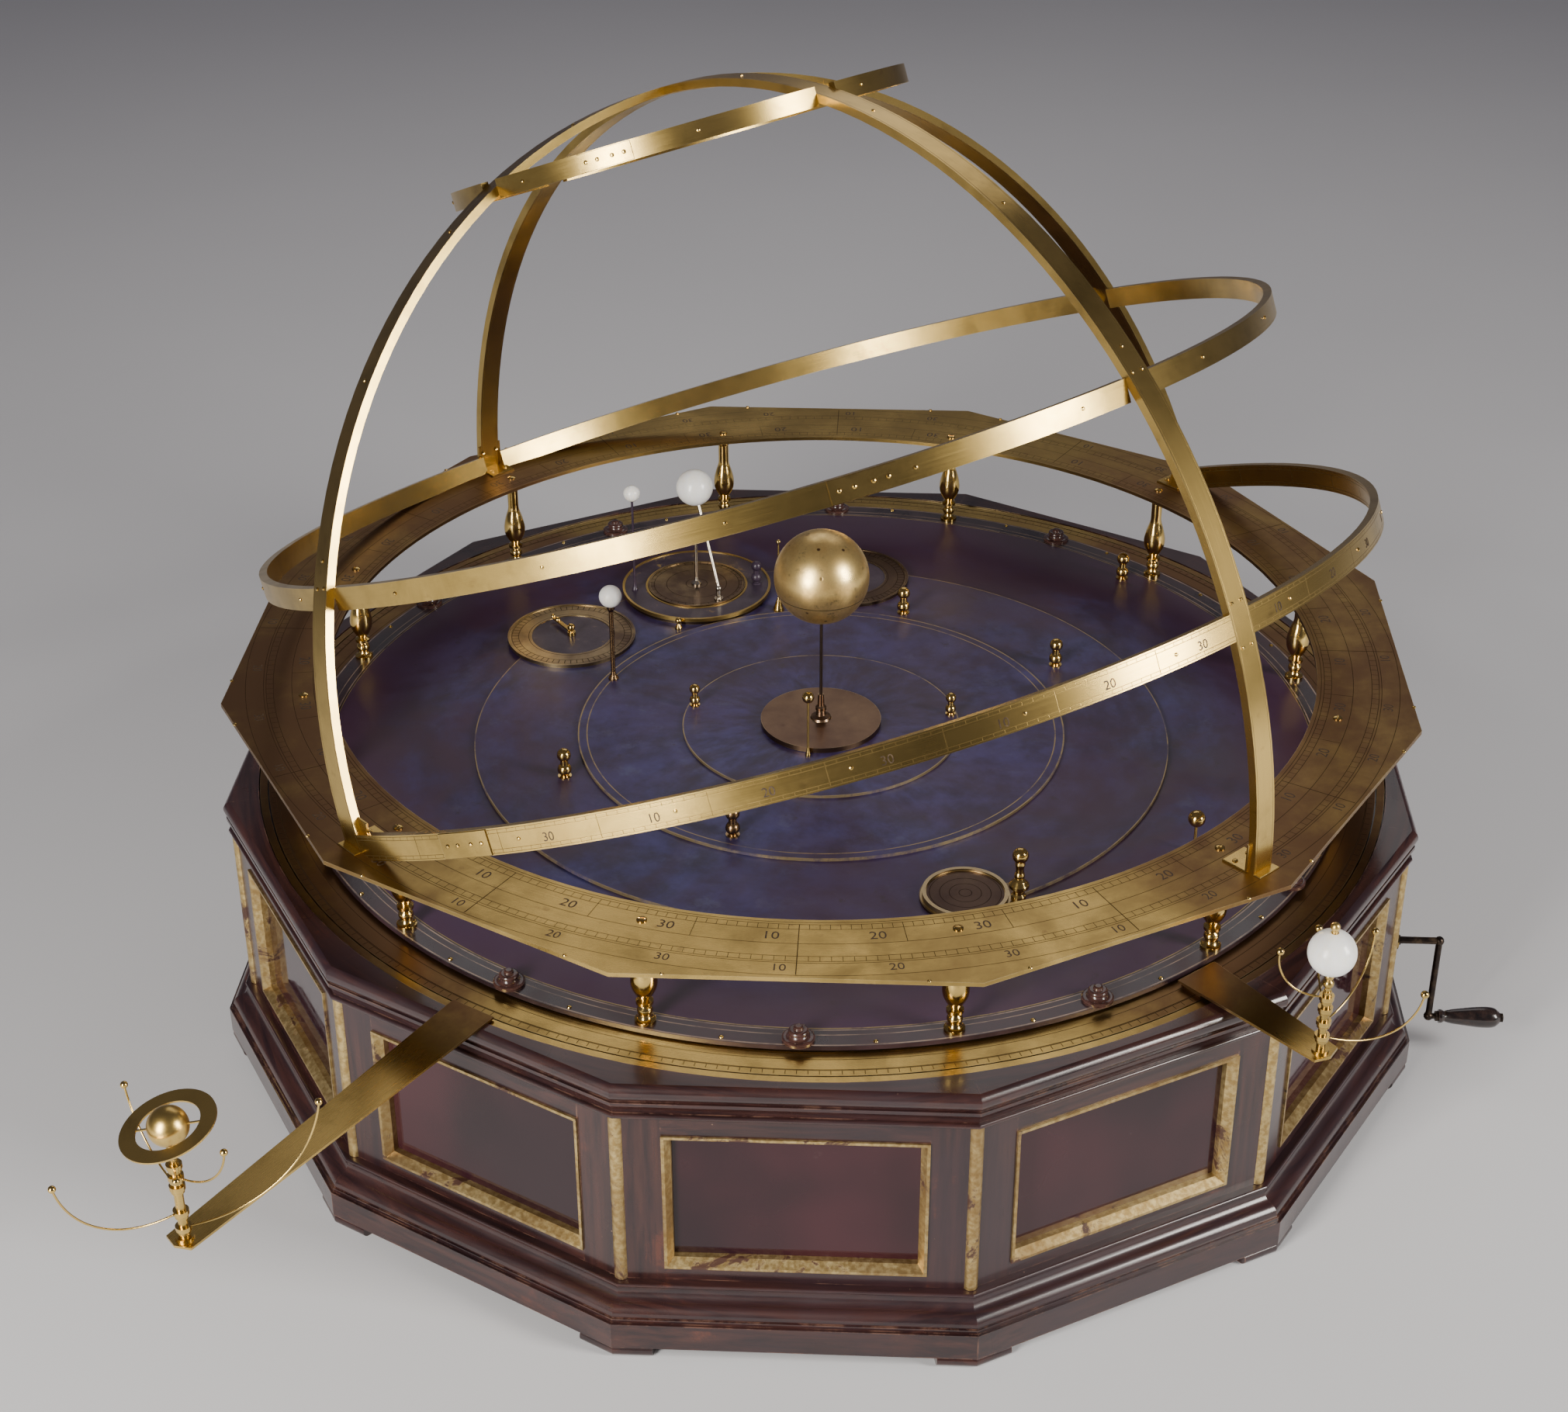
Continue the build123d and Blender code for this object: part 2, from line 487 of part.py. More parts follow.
def planet_parts():
    save("mercury_plate", [plate(MERCURY_PLATE, PILLAR_R)])
    save("venus_plate", [plate(VENUS_PLATE, MERCURY_SLEEVE_R)])
    save("earth_plate", [plate(EARTH_PLATE, VENUS_SLEEVE_R)])
    save("mars_plate", [plate(MARS_PLATE, EARTH_SLEEVE_R)])

    z = MERCURY_PLATE[2]
    mercury = stem(z, MERCURY["z"], 1.2, 3.0) + ball(MERCURY["ball"], MERCURY["z"])
    small = knob(z, 0.78)
    save("mercury_fittings", [put(mercury, MERCURY["r"], MERCURY["az"]),
                              put(small, 136, 167.5), put(small, 136, 9.8)])

    z = VENUS_PLATE[2]
    ball_seat = VENUS["z"] - VENUS["ball"] + 1
    cup = turned(outline((0, ball_seat - 7), (2.4, ball_seat - 7), (4.4, ball_seat - 3),
                         (4.6, ball_seat), (0, ball_seat)))
    venus = stem(z, ball_seat - 1, 2.4, 5.5) + cup
    globe = ball(VENUS["ball"], VENUS["z"]) - disc(6, z, ball_seat)
    save("venus_fittings", [put(venus, VENUS["r"], VENUS["az"]), put(knob(z), 226, -110)])
    save("venus_globe", [put(globe, VENUS["r"], VENUS["az"])])

    z = MARS_PLATE[2]
    mars = stem(z, MARS["z"], 1.5, 2.4) + ball(MARS["ball"], MARS["z"])
    save("mars_fittings", [put(mars, MARS["r"], MARS["az"]), put(knob(z), 488, 47)])

    sun = ball(SUN_R, SUN_Z) + disc(SUN_ROD_R, COVER[2] + 2.5, SUN_Z - SUN_R + 2)
    save("sun_globe", [sun])


def moon_ring_parts(z):
    """The ring that carries the Moon round Earth's dial, and the Moon's globe."""
    inner, outer = MOON_RING_R
    ring = disc(outer, z, z + 3.2, inner) + disc(outer, z, z + 4, outer - 2.5)
    ring += disc(inner + 2, z, z + 4, inner)
    here = Pos(polar(MOON_ORBIT, MOON_AZ - EARTH_AZ))
    seat = MOON_Z - MOON_R + 1
    rod_r = 1.3
    rod = here * stem(z + 3.2, seat, rod_r, 3.4)
    grip = Pos(polar(68, 6.5 - EARTH_AZ)) * knob(z + 3.2, 0.85)
    moon = here * (ball(MOON_R, MOON_Z) - disc(rod_r, z, seat))
    save("moon_ring", [put(part, DIAL_CIRCLE_R, EARTH_AZ) for part in (ring, rod, grip)])
    save("moon_globe", [put(moon, DIAL_CIRCLE_R, EARTH_AZ)])


def dial_parts(z):
    """Earth's drum, two side dials, the rimmed front dial and the finial that stands at its edge."""
    drum = disc(MOON_RING_R[1] - 2, z, z + 4) + disc(EARTH_DIAL_R, z + 4, z + 9.5)
    drum -= disc(EARTH_DIAL_R - 2.5, z + 8.7, z + 10)
    side = disc(SIDE_DIAL_R, z, z + SIDE_DIAL_T) + disc(SIDE_DIAL_R, z, z + 4, SIDE_DIAL_R - 2.5)
    side -= disc(SIDE_WELL_R, z + SIDE_DIAL_T - 0.8, z + 5)
    front_az = EARTH_AZ - 181.5
    rim_inner, rim_outer = FRONT_RIM_R
    rimmed = disc(FRONT_DIAL_R, z, z + 3) + disc(rim_outer, z, z + FRONT_RIM_H)
    rimmed -= disc(rim_inner, z + FRONT_RIM_H - 2.2, z + FRONT_RIM_H + 1)
    middle = polar(DIAL_CIRCLE_R + 4, front_az)
    ear_at = polar(*FINIAL_AT)
    reach = (ear_at - middle).length
    bearing = Vector(1, 0, 0).get_signed_angle(ear_at - middle)
    strap = Pos(middle.X, middle.Y, z + 1.5) * Rot(0, 0, bearing) * (
        Pos(reach / 2, 0) * Box(reach, 2 * EAR_R, 3))
    dial = Pos(middle.X, middle.Y, 0) * rimmed + strap + Pos(ear_at.X, ear_at.Y, 0) * disc(EAR_R, z, z + 3)
    save("plate_dials", [put(drum, DIAL_CIRCLE_R, EARTH_AZ),
                         put(side, DIAL_CIRCLE_R, EARTH_AZ + DIAL_STEP),
                         put(side, DIAL_CIRCLE_R, EARTH_AZ - DIAL_STEP), dial])

    foot = z + 3
    top = foot + FINIAL_H
    finial = turned(
        Polyline((0, foot), (8.4, foot), (8.4, foot + 2.5), (6.2, foot + 4), (5.6, top - 50),
                 (7.0, top - 48), (7.0, top - 43), (5.2, top - 41), (5.2, top - 38), (9.4, top - 34),
                 (9.4, top - 31), (6.0, top - 27), (4.0, top - 25), (3.7, top - 14), (4.9, top - 9),
                 (3.9, top - 5), (0, top - 5), (0, foot)))
    finial += ball(5.0, top - 21.4) + ball(7.7, top)
    pointer = turned(outline((0, z), (6.5, z), (5.5, z + 3), (1.2, z + 16), (1.0, z + 84), (0, z + 84)))
    pointer += ball(2.6, z + 85)
    stud = turned(outline((0, z), (4, z), (4, z + 2), (1.5, z + 6), (1.5, z + 8), (0, z + 8)))
    stud += ball(3.6, z + 10)
    fittings = [put(finial, *FINIAL_AT), put(pointer, 262, 102.5), put(stud, 264.5, 128.6)]
    fittings += [put(knob(z), r, az) for r, az in ((275, -157), (286, 30), (268, 72))]
    save("earth_fittings", fittings)

    hand_z = z + SIDE_DIAL_T - 0.4
    hand = disc(4.6, hand_z, hand_z + 4) + disc(2.6, hand_z, hand_z + 8) + ball(4.2, hand_z + 9.5)
    hand += Pos(20, 0, hand_z + 4) * Box(40, 4.4, 2)
    hand += Pos(30, 0, hand_z + 5.4) * Sphere(3.2) + Pos(40, 0, hand_z + 5.4) * Sphere(2.6)
    save("dial_hand", [put(Rot(0, 0, -20) * hand, DIAL_CIRCLE_R, EARTH_AZ + DIAL_STEP)])


def earth_parts():
    z = EARTH_PLATE[2]
    moon_ring_parts(z + 4.3)
    dial_parts(z)

    # the globe leans on its axis rod, which rises from a bent post on the drum
    top = z + 8.7
    joint_z = top + 14
    tilt = radians(OBLIQUITY)
    lean_az = -53.0
    rod_r = 1.9
    centre = polar(DIAL_CIRCLE_R, EARTH_AZ)
    heart = centre + Vector(0, 0, EARTH_Z)
    down = polar(sin(tilt), lean_az, -cos(tilt))
    length = (EARTH_Z - joint_z) / cos(tilt)
    covered = EARTH_R - 1
    rod = Plane(origin=heart + down * ((length + covered) / 2), z_dir=down) * Cylinder(
        rod_r, length - covered)
    foot_at = centre + polar((EARTH_Z - joint_z) * tan(tilt), lean_az)
    post = disc(5, top, top + 2) + disc(2.8, top, joint_z) + ball(3.4, joint_z)
    middle = stem(top, top + 62, 2.0, 6) + ball(3.2, top + 63)
    save("earth_axis", [rod + Pos(foot_at.X, foot_at.Y, 0) * post, Pos(centre.X, centre.Y, 0) * middle])
    seat = Plane(origin=heart + down * (EARTH_R + 8.5), z_dir=down) * Cylinder(
        rod_r + RUNNING_FIT, 20)
    save("earth_globe", [Pos(heart) * Sphere(EARTH_R) - seat])


# ---- outer planets ---------------------------------------------------------------------------
def arm(start, stop, z0, z1, width0, width1):
    """A flat radial arm along +X that narrows towards a shallow point."""
    half0, half1 = width0 / 2, width1 / 2
    face = make_face(Polyline((stop, half1), (start, half0), (start, -half0), (stop, -half1),
                              (stop + 5, 0), close=True))
    return Pos(0, 0, z0) * extrude(face, z1 - z0)


def column(z0, ball_bottom, collars):
    """A turned column, with a bead under each satellite's collar and two under the globe."""
    body = disc(7.4, z0, z0 + 2) + disc(COLUMN_R, z0, ball_bottom - 20)
    body += disc(COLUMN_R - 1.2, ball_bottom - 20, ball_bottom)
    body += ball(4.8, ball_bottom - 12) + ball(4.2, ball_bottom - 4.6)
    for z in collars:
        body += disc(5.4, z - 3.2, z - 0.3)
    return body & disc(20, z0, ball_bottom)


def satellite(orbit, ball_z, collar_z, ball_r):
    collar = disc(COLLAR_R, collar_z, collar_z + COLLAR_H, COLUMN_R + RUNNING_FIT)
    height = collar_z + COLLAR_H / 2
    start = (COLLAR_R - 1, height)
    stop = (orbit, ball_z - ball_r * 0.4)
    path = Plane.XZ * TangentArc(start, stop, tangent=(1, 0))
    section = Plane(origin=path @ 0, z_dir=path % 0) * Circle(WIRE_R)
    wire = sweep(section, path)
    bore = disc(COLUMN_R + RUNNING_FIT, collar_z - 1, collar_z + COLLAR_H + 1)
    return collar + (wire - bore) + Pos(orbit, 0, ball_z) * Sphere(ball_r)


def packing(inner, outer, z0, z1):
    """The pad that joins an arm to the ring below it."""
    return disc(outer, z0, z1, inner) & wedge(2.0, z0, z1)


def jupiter_parts():
    z0, z1 = RING_Z0, RING_Z0 + RING_T
    save("jupiter_ring", [disc(JUPITER_RING_R[1], z0, z1, JUPITER_RING_R[0])])
    r, az = JUPITER["r"], JUPITER["az"]
    body = Rot(0, 0, az) * (arm(ARM_START, r + ARM_END, *JUPITER_ARM_Z, *JUPITER_ARM_W)
                            + packing(ARM_START + 0.5, 562, z1, JUPITER_ARM_Z[0]))
    seat = JUPITER["z"] - JUPITER["ball"] + 1
    post = put(column(JUPITER_ARM_Z[1], seat, [m[3] for m in JUPITER_MOONS]), r, az)
    save("jupiter_arm", [body, post])
    globe = ball(JUPITER["ball"], JUPITER["z"]) - disc(12, 300, seat)
    cap_z = JUPITER["z"] + JUPITER["ball"]
    finial = disc(2.6, cap_z - 0.5, cap_z + 3) + ball(4.2, cap_z + 5.4)
    save("jupiter_globe", [put(globe - finial, r, az), put(finial, r, az)])
    for k, (orbit, moon_az, ball_z, collar_z) in enumerate(JUPITER_MOONS):
        moon = Rot(0, 0, moon_az) * satellite(orbit, ball_z, collar_z, 3.5)
        save(f"jupiter_moon_{k + 1}", [put(moon, r, az, turn=False)])


def saturn_parts():
    z0, z1 = RING_Z0, RING_Z0 + RING_T
    save("saturn_ring", [disc(SATURN_RING_R[1], z0, z1, SATURN_RING_R[0])])
    r, az = SATURN["r"], SATURN["az"]
    inner, outer = SATURN_RING_R
    body = Rot(0, 0, az) * (arm(inner, r + ARM_END, *SATURN_ARM_Z, *SATURN_ARM_W)
                            + packing(inner, outer, z1, SATURN_ARM_Z[0]))
    seat = SATURN["z"] - SATURN["ball"] + 1
    post = put(column(SATURN_ARM_Z[1], seat, [m[3] for m in SATURN_MOONS]), r, az)
    save("saturn_arm", [body, post])

    lean = Vector(-sin(radians(13)), -sin(radians(6)), 1).normalized()
    level = Plane(origin=(0, 0, SATURN["z"]), z_dir=lean)
    flat_ring = level * (Cylinder(39, 1.6) - Cylinder(26, 3))
    pins = level * (Box(2 * 26, 1.6, 1.2) - Cylinder(SATURN["ball"] - 0.5, 5))
    globe = ball(SATURN["ball"], SATURN["z"]) - disc(12, 300, seat)
    save("saturn_globe", [put(globe + (pins & level * Cylinder(26, 5)), r, az, turn=False),
                          put(flat_ring, r, az, turn=False)])
    for k, (orbit, moon_az, ball_z, collar_z) in enumerate(SATURN_MOONS):
        moon = Rot(0, 0, moon_az) * satellite(orbit, ball_z, collar_z, 3.1)
        save(f"saturn_moon_{k + 1}", [put(moon, r, az, turn=False)])


os.makedirs("parts", exist_ok=True)
case_parts()
table_parts()
sky_parts()
clockwork_parts()
planet_parts()
earth_parts()
jupiter_parts()
saturn_parts()
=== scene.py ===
from math import cos, pi, radians, sin

import bmesh
import bpy
from mathutils import Matrix, Vector


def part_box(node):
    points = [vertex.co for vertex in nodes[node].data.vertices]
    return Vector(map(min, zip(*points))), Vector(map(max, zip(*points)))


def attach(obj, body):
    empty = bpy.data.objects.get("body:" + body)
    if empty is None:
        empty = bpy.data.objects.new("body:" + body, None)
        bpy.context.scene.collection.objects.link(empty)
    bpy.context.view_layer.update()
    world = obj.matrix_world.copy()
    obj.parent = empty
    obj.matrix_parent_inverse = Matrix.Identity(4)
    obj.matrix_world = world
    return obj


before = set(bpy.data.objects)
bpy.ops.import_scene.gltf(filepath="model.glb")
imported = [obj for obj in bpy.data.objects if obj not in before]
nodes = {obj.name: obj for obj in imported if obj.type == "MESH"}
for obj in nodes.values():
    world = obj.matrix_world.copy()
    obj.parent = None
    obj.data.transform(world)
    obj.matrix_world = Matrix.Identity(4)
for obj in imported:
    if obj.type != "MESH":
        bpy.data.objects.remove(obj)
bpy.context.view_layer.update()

MM = 0.001

# ---- places: a few read from the imported model, the rest given ---------------------------------
# places, read from the frame
RING_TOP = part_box("ecliptic_ring")[1].z
RIM_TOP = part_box("table_rim")[1].z
PLATE_R = {name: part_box(name)[1].x for name in ("mercury_plate", "venus_plate", "earth_plate", "mars_plate")}
OBLIQUITY = radians(23.5)
POLE_AZ = 135.0
SPHERE_R = 564 * MM
BAND_T = 8 * MM
TROPIC_R, TROPIC_H = 0.5102, 0.220    # the tropic band's radius, and its height along its own pole
TROPIC_LEAN, TROPIC_AZ = radians(22.7), 136.5
PIN_R, RING_PIN_R = 0.5268, 0.5895    # circles of pins, in the table's rim and near the ecliptic ring's edge
BUSH_FACE = Vector((0.5843, -0.135, 0.145))
BUSH_SCREW_R = 0.0112
UP = Vector((0, 0, 1))

# ---- the camera -----------------------------------------------------------------------------------
EYE = Vector((79.9, -2328.1, 1682.2)) * MM
YAW, PITCH, ROLL = -0.05064, 0.52771, -0.002968
LENS = 60.06
WARM = (1, 0.965, 0.9)                # tint of the two front softboxes


def polar(r, az, z=0.0):
    return Vector((r * cos(radians(az)), r * sin(radians(az)), z))


def middle(name):
    low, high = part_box(name)
    return (low + high) / 2


HEART = Vector((0, 0, RING_TOP))
POLE = polar(sin(OBLIQUITY), POLE_AZ, cos(OBLIQUITY))
SIDEWAYS = polar(1, POLE_AZ - 90)
TILTED = polar(cos(OBLIQUITY), POLE_AZ + 180, sin(OBLIQUITY))


# ---- materials ----------------------------------------------------------------------------------
class Paint:
    """A node material under construction. Coordinates are the row frame's, in metres."""

    def __init__(self, name):
        self.material = bpy.data.materials.new(name)
        self.material.use_nodes = True
        tree = self.material.node_tree
        self.nodes, self.links = tree.nodes, tree.links
        self.shader = self.nodes["Principled BSDF"]
        self.where = self.nodes.new("ShaderNodeTexCoord").outputs["Object"]
        self.x, self.y, self.z = self.split(self.where)

    def feed(self, socket, value):
        if isinstance(value, bpy.types.NodeSocket):
            self.links.new(value, socket)
        elif isinstance(value, (tuple, list)) and len(value) == 3 and len(socket.default_value) == 4:
            socket.default_value = (*value, 1)
        else:
            socket.default_value = value

    def split(self, vector):
        node = self.nodes.new("ShaderNodeSeparateXYZ")
        self.feed(node.inputs[0], vector)
        return node.outputs

    def join(self, x, y, z):
        node = self.nodes.new("ShaderNodeCombineXYZ")
        for socket, value in zip(node.inputs, (x, y, z)):
            self.feed(socket, value)
        return node.outputs[0]

    def math(self, operation, a, b=0.0, c=0.0):
        node = self.nodes.new("ShaderNodeMath")
        node.operation = operation
        for socket, value in zip(node.inputs, (a, b, c)):
            self.feed(socket, value)
        return node.outputs[0]

    def dot(self, vector, axis):
        node = self.nodes.new("ShaderNodeVectorMath")
        node.operation = "DOT_PRODUCT"
        self.feed(node.inputs[0], vector)
        self.feed(node.inputs[1], tuple(axis))
        return node.outputs["Value"]

    def shift(self, vector, by):
        node = self.nodes.new("ShaderNodeVectorMath")
        node.operation = "SUBTRACT"
        self.feed(node.inputs[0], vector)
        self.feed(node.inputs[1], tuple(by))
        return node.outputs["Vector"]

    def fade(self, value, low, high, to_low=0.0, to_high=1.0):
        node = self.nodes.new("ShaderNodeMapRange")
        node.interpolation_type = "SMOOTHSTEP"
        for socket, v in zip(node.inputs, (value, low, high, to_low, to_high)):
            self.feed(socket, v)
        return node.outputs[0]

    def mix(self, share, a, b):
        node = self.nodes.new("ShaderNodeMix")
        node.data_type = "RGBA"
        self.feed(node.inputs[0], share)
        self.feed(node.inputs[6], a)
        self.feed(node.inputs[7], b)
        return node.outputs[2]

    def noise(self, scale, detail=4.0, rough=0.55, vector=None, warp=0.0):
        node = self.nodes.new("ShaderNodeTexNoise")
        self.feed(node.inputs["Vector"], self.where if vector is None else vector)
        self.feed(node.inputs["Scale"], scale)
        self.feed(node.inputs["Detail"], detail)
        self.feed(node.inputs["Roughness"], rough)
        self.feed(node.inputs["Distortion"], warp)
        return node.outputs["Fac"]

    def cells(self, scale):
        node = self.nodes.new("ShaderNodeTexVoronoi")
        self.feed(node.inputs["Vector"], self.where)
        self.feed(node.inputs["Scale"], scale)
        return node.outputs["Distance"]

    def edges(self, width, low=0.02, high=0.2):
        """1 along sharp edges, 0 on flat ground."""
        node = self.nodes.new("ShaderNodeBevel")
        node.samples = 4
        self.feed(node.inputs["Radius"], width)
        flat = self.nodes.new("ShaderNodeNewGeometry").outputs["Normal"]
        apart = self.nodes.new("ShaderNodeVectorMath")
        apart.operation = "DOT_PRODUCT"
        self.feed(apart.inputs[0], node.outputs[0])
        self.feed(apart.inputs[1], flat)
        return self.fade(self.math("SUBTRACT", 1, apart.outputs["Value"]), low, high)

    def within(self, value, low, high, soft=0.0002):
        """1 where value lies between low and high."""
        return self.math("MULTIPLY", self.fade(value, low - soft, low + soft),
                         self.fade(value, high - soft, high + soft, 1, 0))

    def line(self, value, at, half=0.0003, soft=0.0001):
        return self.within(value, at - half, at + half, soft)

    def ticks(self, angle, step, radius, half=0.0003):
        """Short lines every step degrees of an angle in radians, on a circle of that radius."""
        turns = self.math("DIVIDE", angle, radians(step))
        off = self.math("PINGPONG", turns, 0.5)
        return self.fade(self.math("MULTIPLY", off, radians(step) * radius), half * 0.6, half * 1.5, 1, 0)

    def most(self, *values):
        found = values[0]
        for value in values[1:]:
            found = self.math("MAXIMUM", found, value)
        return found

    def polar(self, centre=(0, 0, 0)):
        """Radius and angle about an upright axis."""
        x, y, _ = self.split(self.shift(self.where, centre))
        r = self.math("SQRT", self.math("ADD", self.math("MULTIPLY", x, x), self.math("MULTIPLY", y, y)))
        return r, self.math("ARCTAN2", y, x)

    def finish(self, colour, rough, height=None, depth=0.0002, strength=0.4, **constants):
        self.feed(self.shader.inputs["Base Color"], colour)
        self.feed(self.shader.inputs["Roughness"], rough)
        for name, value in constants.items():
            self.feed(self.shader.inputs[name.replace("_", " ")], value)
        if height is not None:
            bump = self.nodes.new("ShaderNodeBump")
            self.feed(bump.inputs["Strength"], strength)
            self.feed(bump.inputs["Distance"], depth)
            self.feed(bump.inputs["Height"], height)
            self.feed(self.shader.inputs["Normal"], bump.outputs[0])
        return self.material


PALE = (0.73, 0.51, 0.16)
OLIVE = (0.43, 0.30, 0.09)
TARNISH = (0.17, 0.09, 0.045)
INK = (0.035, 0.02, 0.012)


def brass(name, streaks=None, cut=None, dirt_and_shade=None, patina=0.5, shine=0.24, clean=PALE, dull=OLIVE,
          dark=TARNISH, painted=None):
    """Old brass: clean metal, olive patina and brown tarnished patches (more where dirt_and_shade says, which
    is partly painted shade), brushed along streaks, paler on the edges (partly worn bare, partly a painted
    edge highlight), engraved where cut says and covered with purple-brown paint where painted says."""
    p = Paint(name)
    metallic = 1.0
    cloud = p.math("ADD", p.math("MULTIPLY", p.noise(2.6, 5, 0.6, warp=0.5), 0.55),
                   p.math("MULTIPLY", p.noise(15, 6, 0.64, warp=0.3), 0.45))
    # The mask added here darkens the metal: painted shade at the rings' left and right sides and at the arms'
    # inner ends; real darkening on the dials.
    if dirt_and_shade:
        cloud = p.math("ADD", cloud, dirt_and_shade(p))
    brushing = p.noise(1, 4, 0.6, vector=streaks(p)) if streaks else p.noise(600, 2)
    colour = p.mix(p.fade(cloud, 0.52 - patina * 0.2, 0.70 - patina * 0.16), clean, dull)
    # The darker brown mix below carries real tarnishing and the painted shade added above.
    tarnish_and_shade = p.fade(cloud, 0.60 - patina * 0.16, 0.92 - patina * 0.12, 0, 0.94)
    colour = p.mix(tarnish_and_shade, colour, dark)
    colour = p.mix(p.fade(p.noise(75, 5, 0.62), 0.6, 0.76, 0, 0.15 + 0.4 * patina), colour, dark)
    colour = p.mix(p.fade(brushing, 0.35, 0.75, 0, 0.07), colour, dark)
    # Paler brass along the edges: partly worn bare, partly a painted edge highlight.
    rubbed_edge_and_highlight = p.math("MULTIPLY", p.edges(0.0009), p.fade(p.noise(26, 4, 0.6), 0.36, 0.6, 0.2, 0.8))
    colour = p.mix(rubbed_edge_and_highlight, colour, (0.78, 0.62, 0.32))
    rough = p.math("ADD", p.fade(brushing, 0.25, 0.8, shine - 0.02, shine + 0.03),
                   p.math("MULTIPLY", tarnish_and_shade, 0.14))
    height = p.math("MULTIPLY", brushing, 0.025)
    if painted:
        cover = p.math("MULTIPLY", painted(p), p.fade(p.noise(60, 6, 0.7), 0.6, 0.7, 1, 0.4))
        shade = p.mix(p.fade(p.noise(30, 7, 0.7), 0.35, 0.7), (0.03, 0.018, 0.034), (0.06, 0.042, 0.065))
        colour = p.mix(cover, colour, shade)
        metallic = p.math("SUBTRACT", 1, p.math("MULTIPLY", cover, 0.95))
    if cut:
        lines = cut(p)
        colour = p.mix(p.math("MULTIPLY", lines, 0.85), colour, INK)
        rough = p.math("ADD", rough, p.math("MULTIPLY", lines, 0.3))
        height = p.math("SUBTRACT", height, lines)
    return p.finish(colour, rough, height, 0.0001, 0.3, Metallic=metallic)


def around(p):
    """Fine streaks that run round an upright axis, as on a turned ring."""
    r, angle = p.polar()
    return p.join(p.math("MULTIPLY", r, 2200), p.math("MULTIPLY", angle, 9), p.math("MULTIPLY", p.z, 300))


def along(axis, across):
    """Fine streaks that run along an axis, on a flat strip."""
    def streaks(p):
        return p.join(p.math("MULTIPLY", p.dot(p.where, across), 2000),
                      p.math("MULTIPLY", p.dot(p.where, axis), 16), p.math("MULTIPLY", p.z, 200))
    return streaks


def sides_painted_shade(low, high, amount):
    """Painted shade: darker brown towards the left and right of a ring than at its front and back."""
    def dirt_and_shade(p):
        _, angle = p.polar()
        return p.fade(p.math("ABSOLUTE", p.math("COSINE", angle)), low, high, 0, amount)
    return dirt_and_shade


def inner_end_painted_shade(low, high, amount):
    """Painted shade: darker brown near the central axis than at the outer end of an arm."""
    def dirt_and_shade(p):
        r, _ = p.polar()
        return p.fade(r, low, high, amount, 0)
    return dirt_and_shade


def wood(name, upright=False, gloss=0.27):
    """Dark mahogany under old varnish: the grain runs along each side, or up a post."""
    p = Paint(name)
    r, angle = p.polar()
    if upright:
        place = p.join(p.math("MULTIPLY", angle, 60), p.math("MULTIPLY", p.z, 6), p.math("MULTIPLY", r, 80))
    else:
        place = p.join(p.math("MULTIPLY", r, 110), p.math("MULTIPLY", angle, 3.4),
                       p.math("MULTIPLY", p.z, 110))
    grain = p.noise(1, 6, 0.68, vector=place, warp=0.5)
    pores = p.noise(6, 3, 0.6, vector=place)
    cloud = p.noise(5, 4, 0.6)
    colour = p.mix(p.fade(grain, 0.32, 0.72), (0.014, 0.006, 0.007), (0.05, 0.018, 0.014))
    colour = p.mix(p.fade(cloud, 0.42, 0.7, 0, 0.7), colour, (0.026, 0.012, 0.016))
    colour = p.mix(p.fade(pores, 0.62, 0.75, 0, 0.5), colour, (0.007, 0.004, 0.004))
    # Paler along the edges: partly worn varnish, partly a painted edge highlight.
    edge_wear_and_highlight = p.math("MULTIPLY", p.edges(0.0024, 0.03, 0.3), p.fade(p.noise(30, 6, 0.72), 0.47, 0.62))
    colour = p.mix(p.math("MULTIPLY", edge_wear_and_highlight, 0.8), colour, (0.24, 0.12, 0.075))
    red = p.math("MULTIPLY", p.fade(p.noise(14, 5, 0.66), 0.6, 0.7), p.fade(grain, 0.45, 0.6))
    colour = p.mix(p.math("MULTIPLY", red, 0.6), colour, (0.11, 0.03, 0.016))
    nick = p.fade(p.noise(120, 3, 0.6), 0.74, 0.77)
    colour = p.mix(p.math("MULTIPLY", nick, 0.5), colour, (0.3, 0.19, 0.12))
    rough = p.math("ADD", p.fade(cloud, 0.3, 0.75, gloss - 0.05, gloss + 0.1), p.math("MULTIPLY", edge_wear_and_highlight, 0.2))
    height = p.math("SUBTRACT", p.math("MULTIPLY", p.noise(45, 4), 0.5),
                    p.math("ADD", p.math("MULTIPLY", p.fade(pores, 0.6, 0.75), 0.25),
                           p.math("MULTIPLY", nick, 0.8)))
    return p.finish(colour, rough, height, 0.0003, 0.3, Coat_Weight=0.5, Coat_Roughness=0.14)


def gilding(name, gloss=0.36):
    """Water gilding rubbed down to brown bole and dark wood."""
    p = Paint(name)
    wear = p.noise(17, 7, 0.72, warp=0.6)
    fine = p.noise(190, 4, 0.62)
    gold = p.mix(p.fade(fine, 0.35, 0.68), (0.40, 0.27, 0.10), (0.64, 0.49, 0.23))
    gold = p.mix(p.fade(p.noise(9, 4, 0.6), 0.4, 0.66, 0, 0.6), gold, (0.22, 0.13, 0.055))
    bare = p.fade(p.math("ADD", wear, p.math("MULTIPLY", fine, 0.15)), 0.62, 0.7)
    colour = p.mix(bare, gold, (0.06, 0.026, 0.016))
    metal = p.math("SUBTRACT", 0.85, p.math("MULTIPLY", bare, 0.8))
    rough = p.math("ADD", gloss - 0.08, p.math("MULTIPLY", fine, 0.2))
    height = p.math("SUBTRACT", p.math("MULTIPLY", fine, 0.3), bare)
    return p.finish(colour, rough, height, 0.0002, 0.4, Metallic=metal)


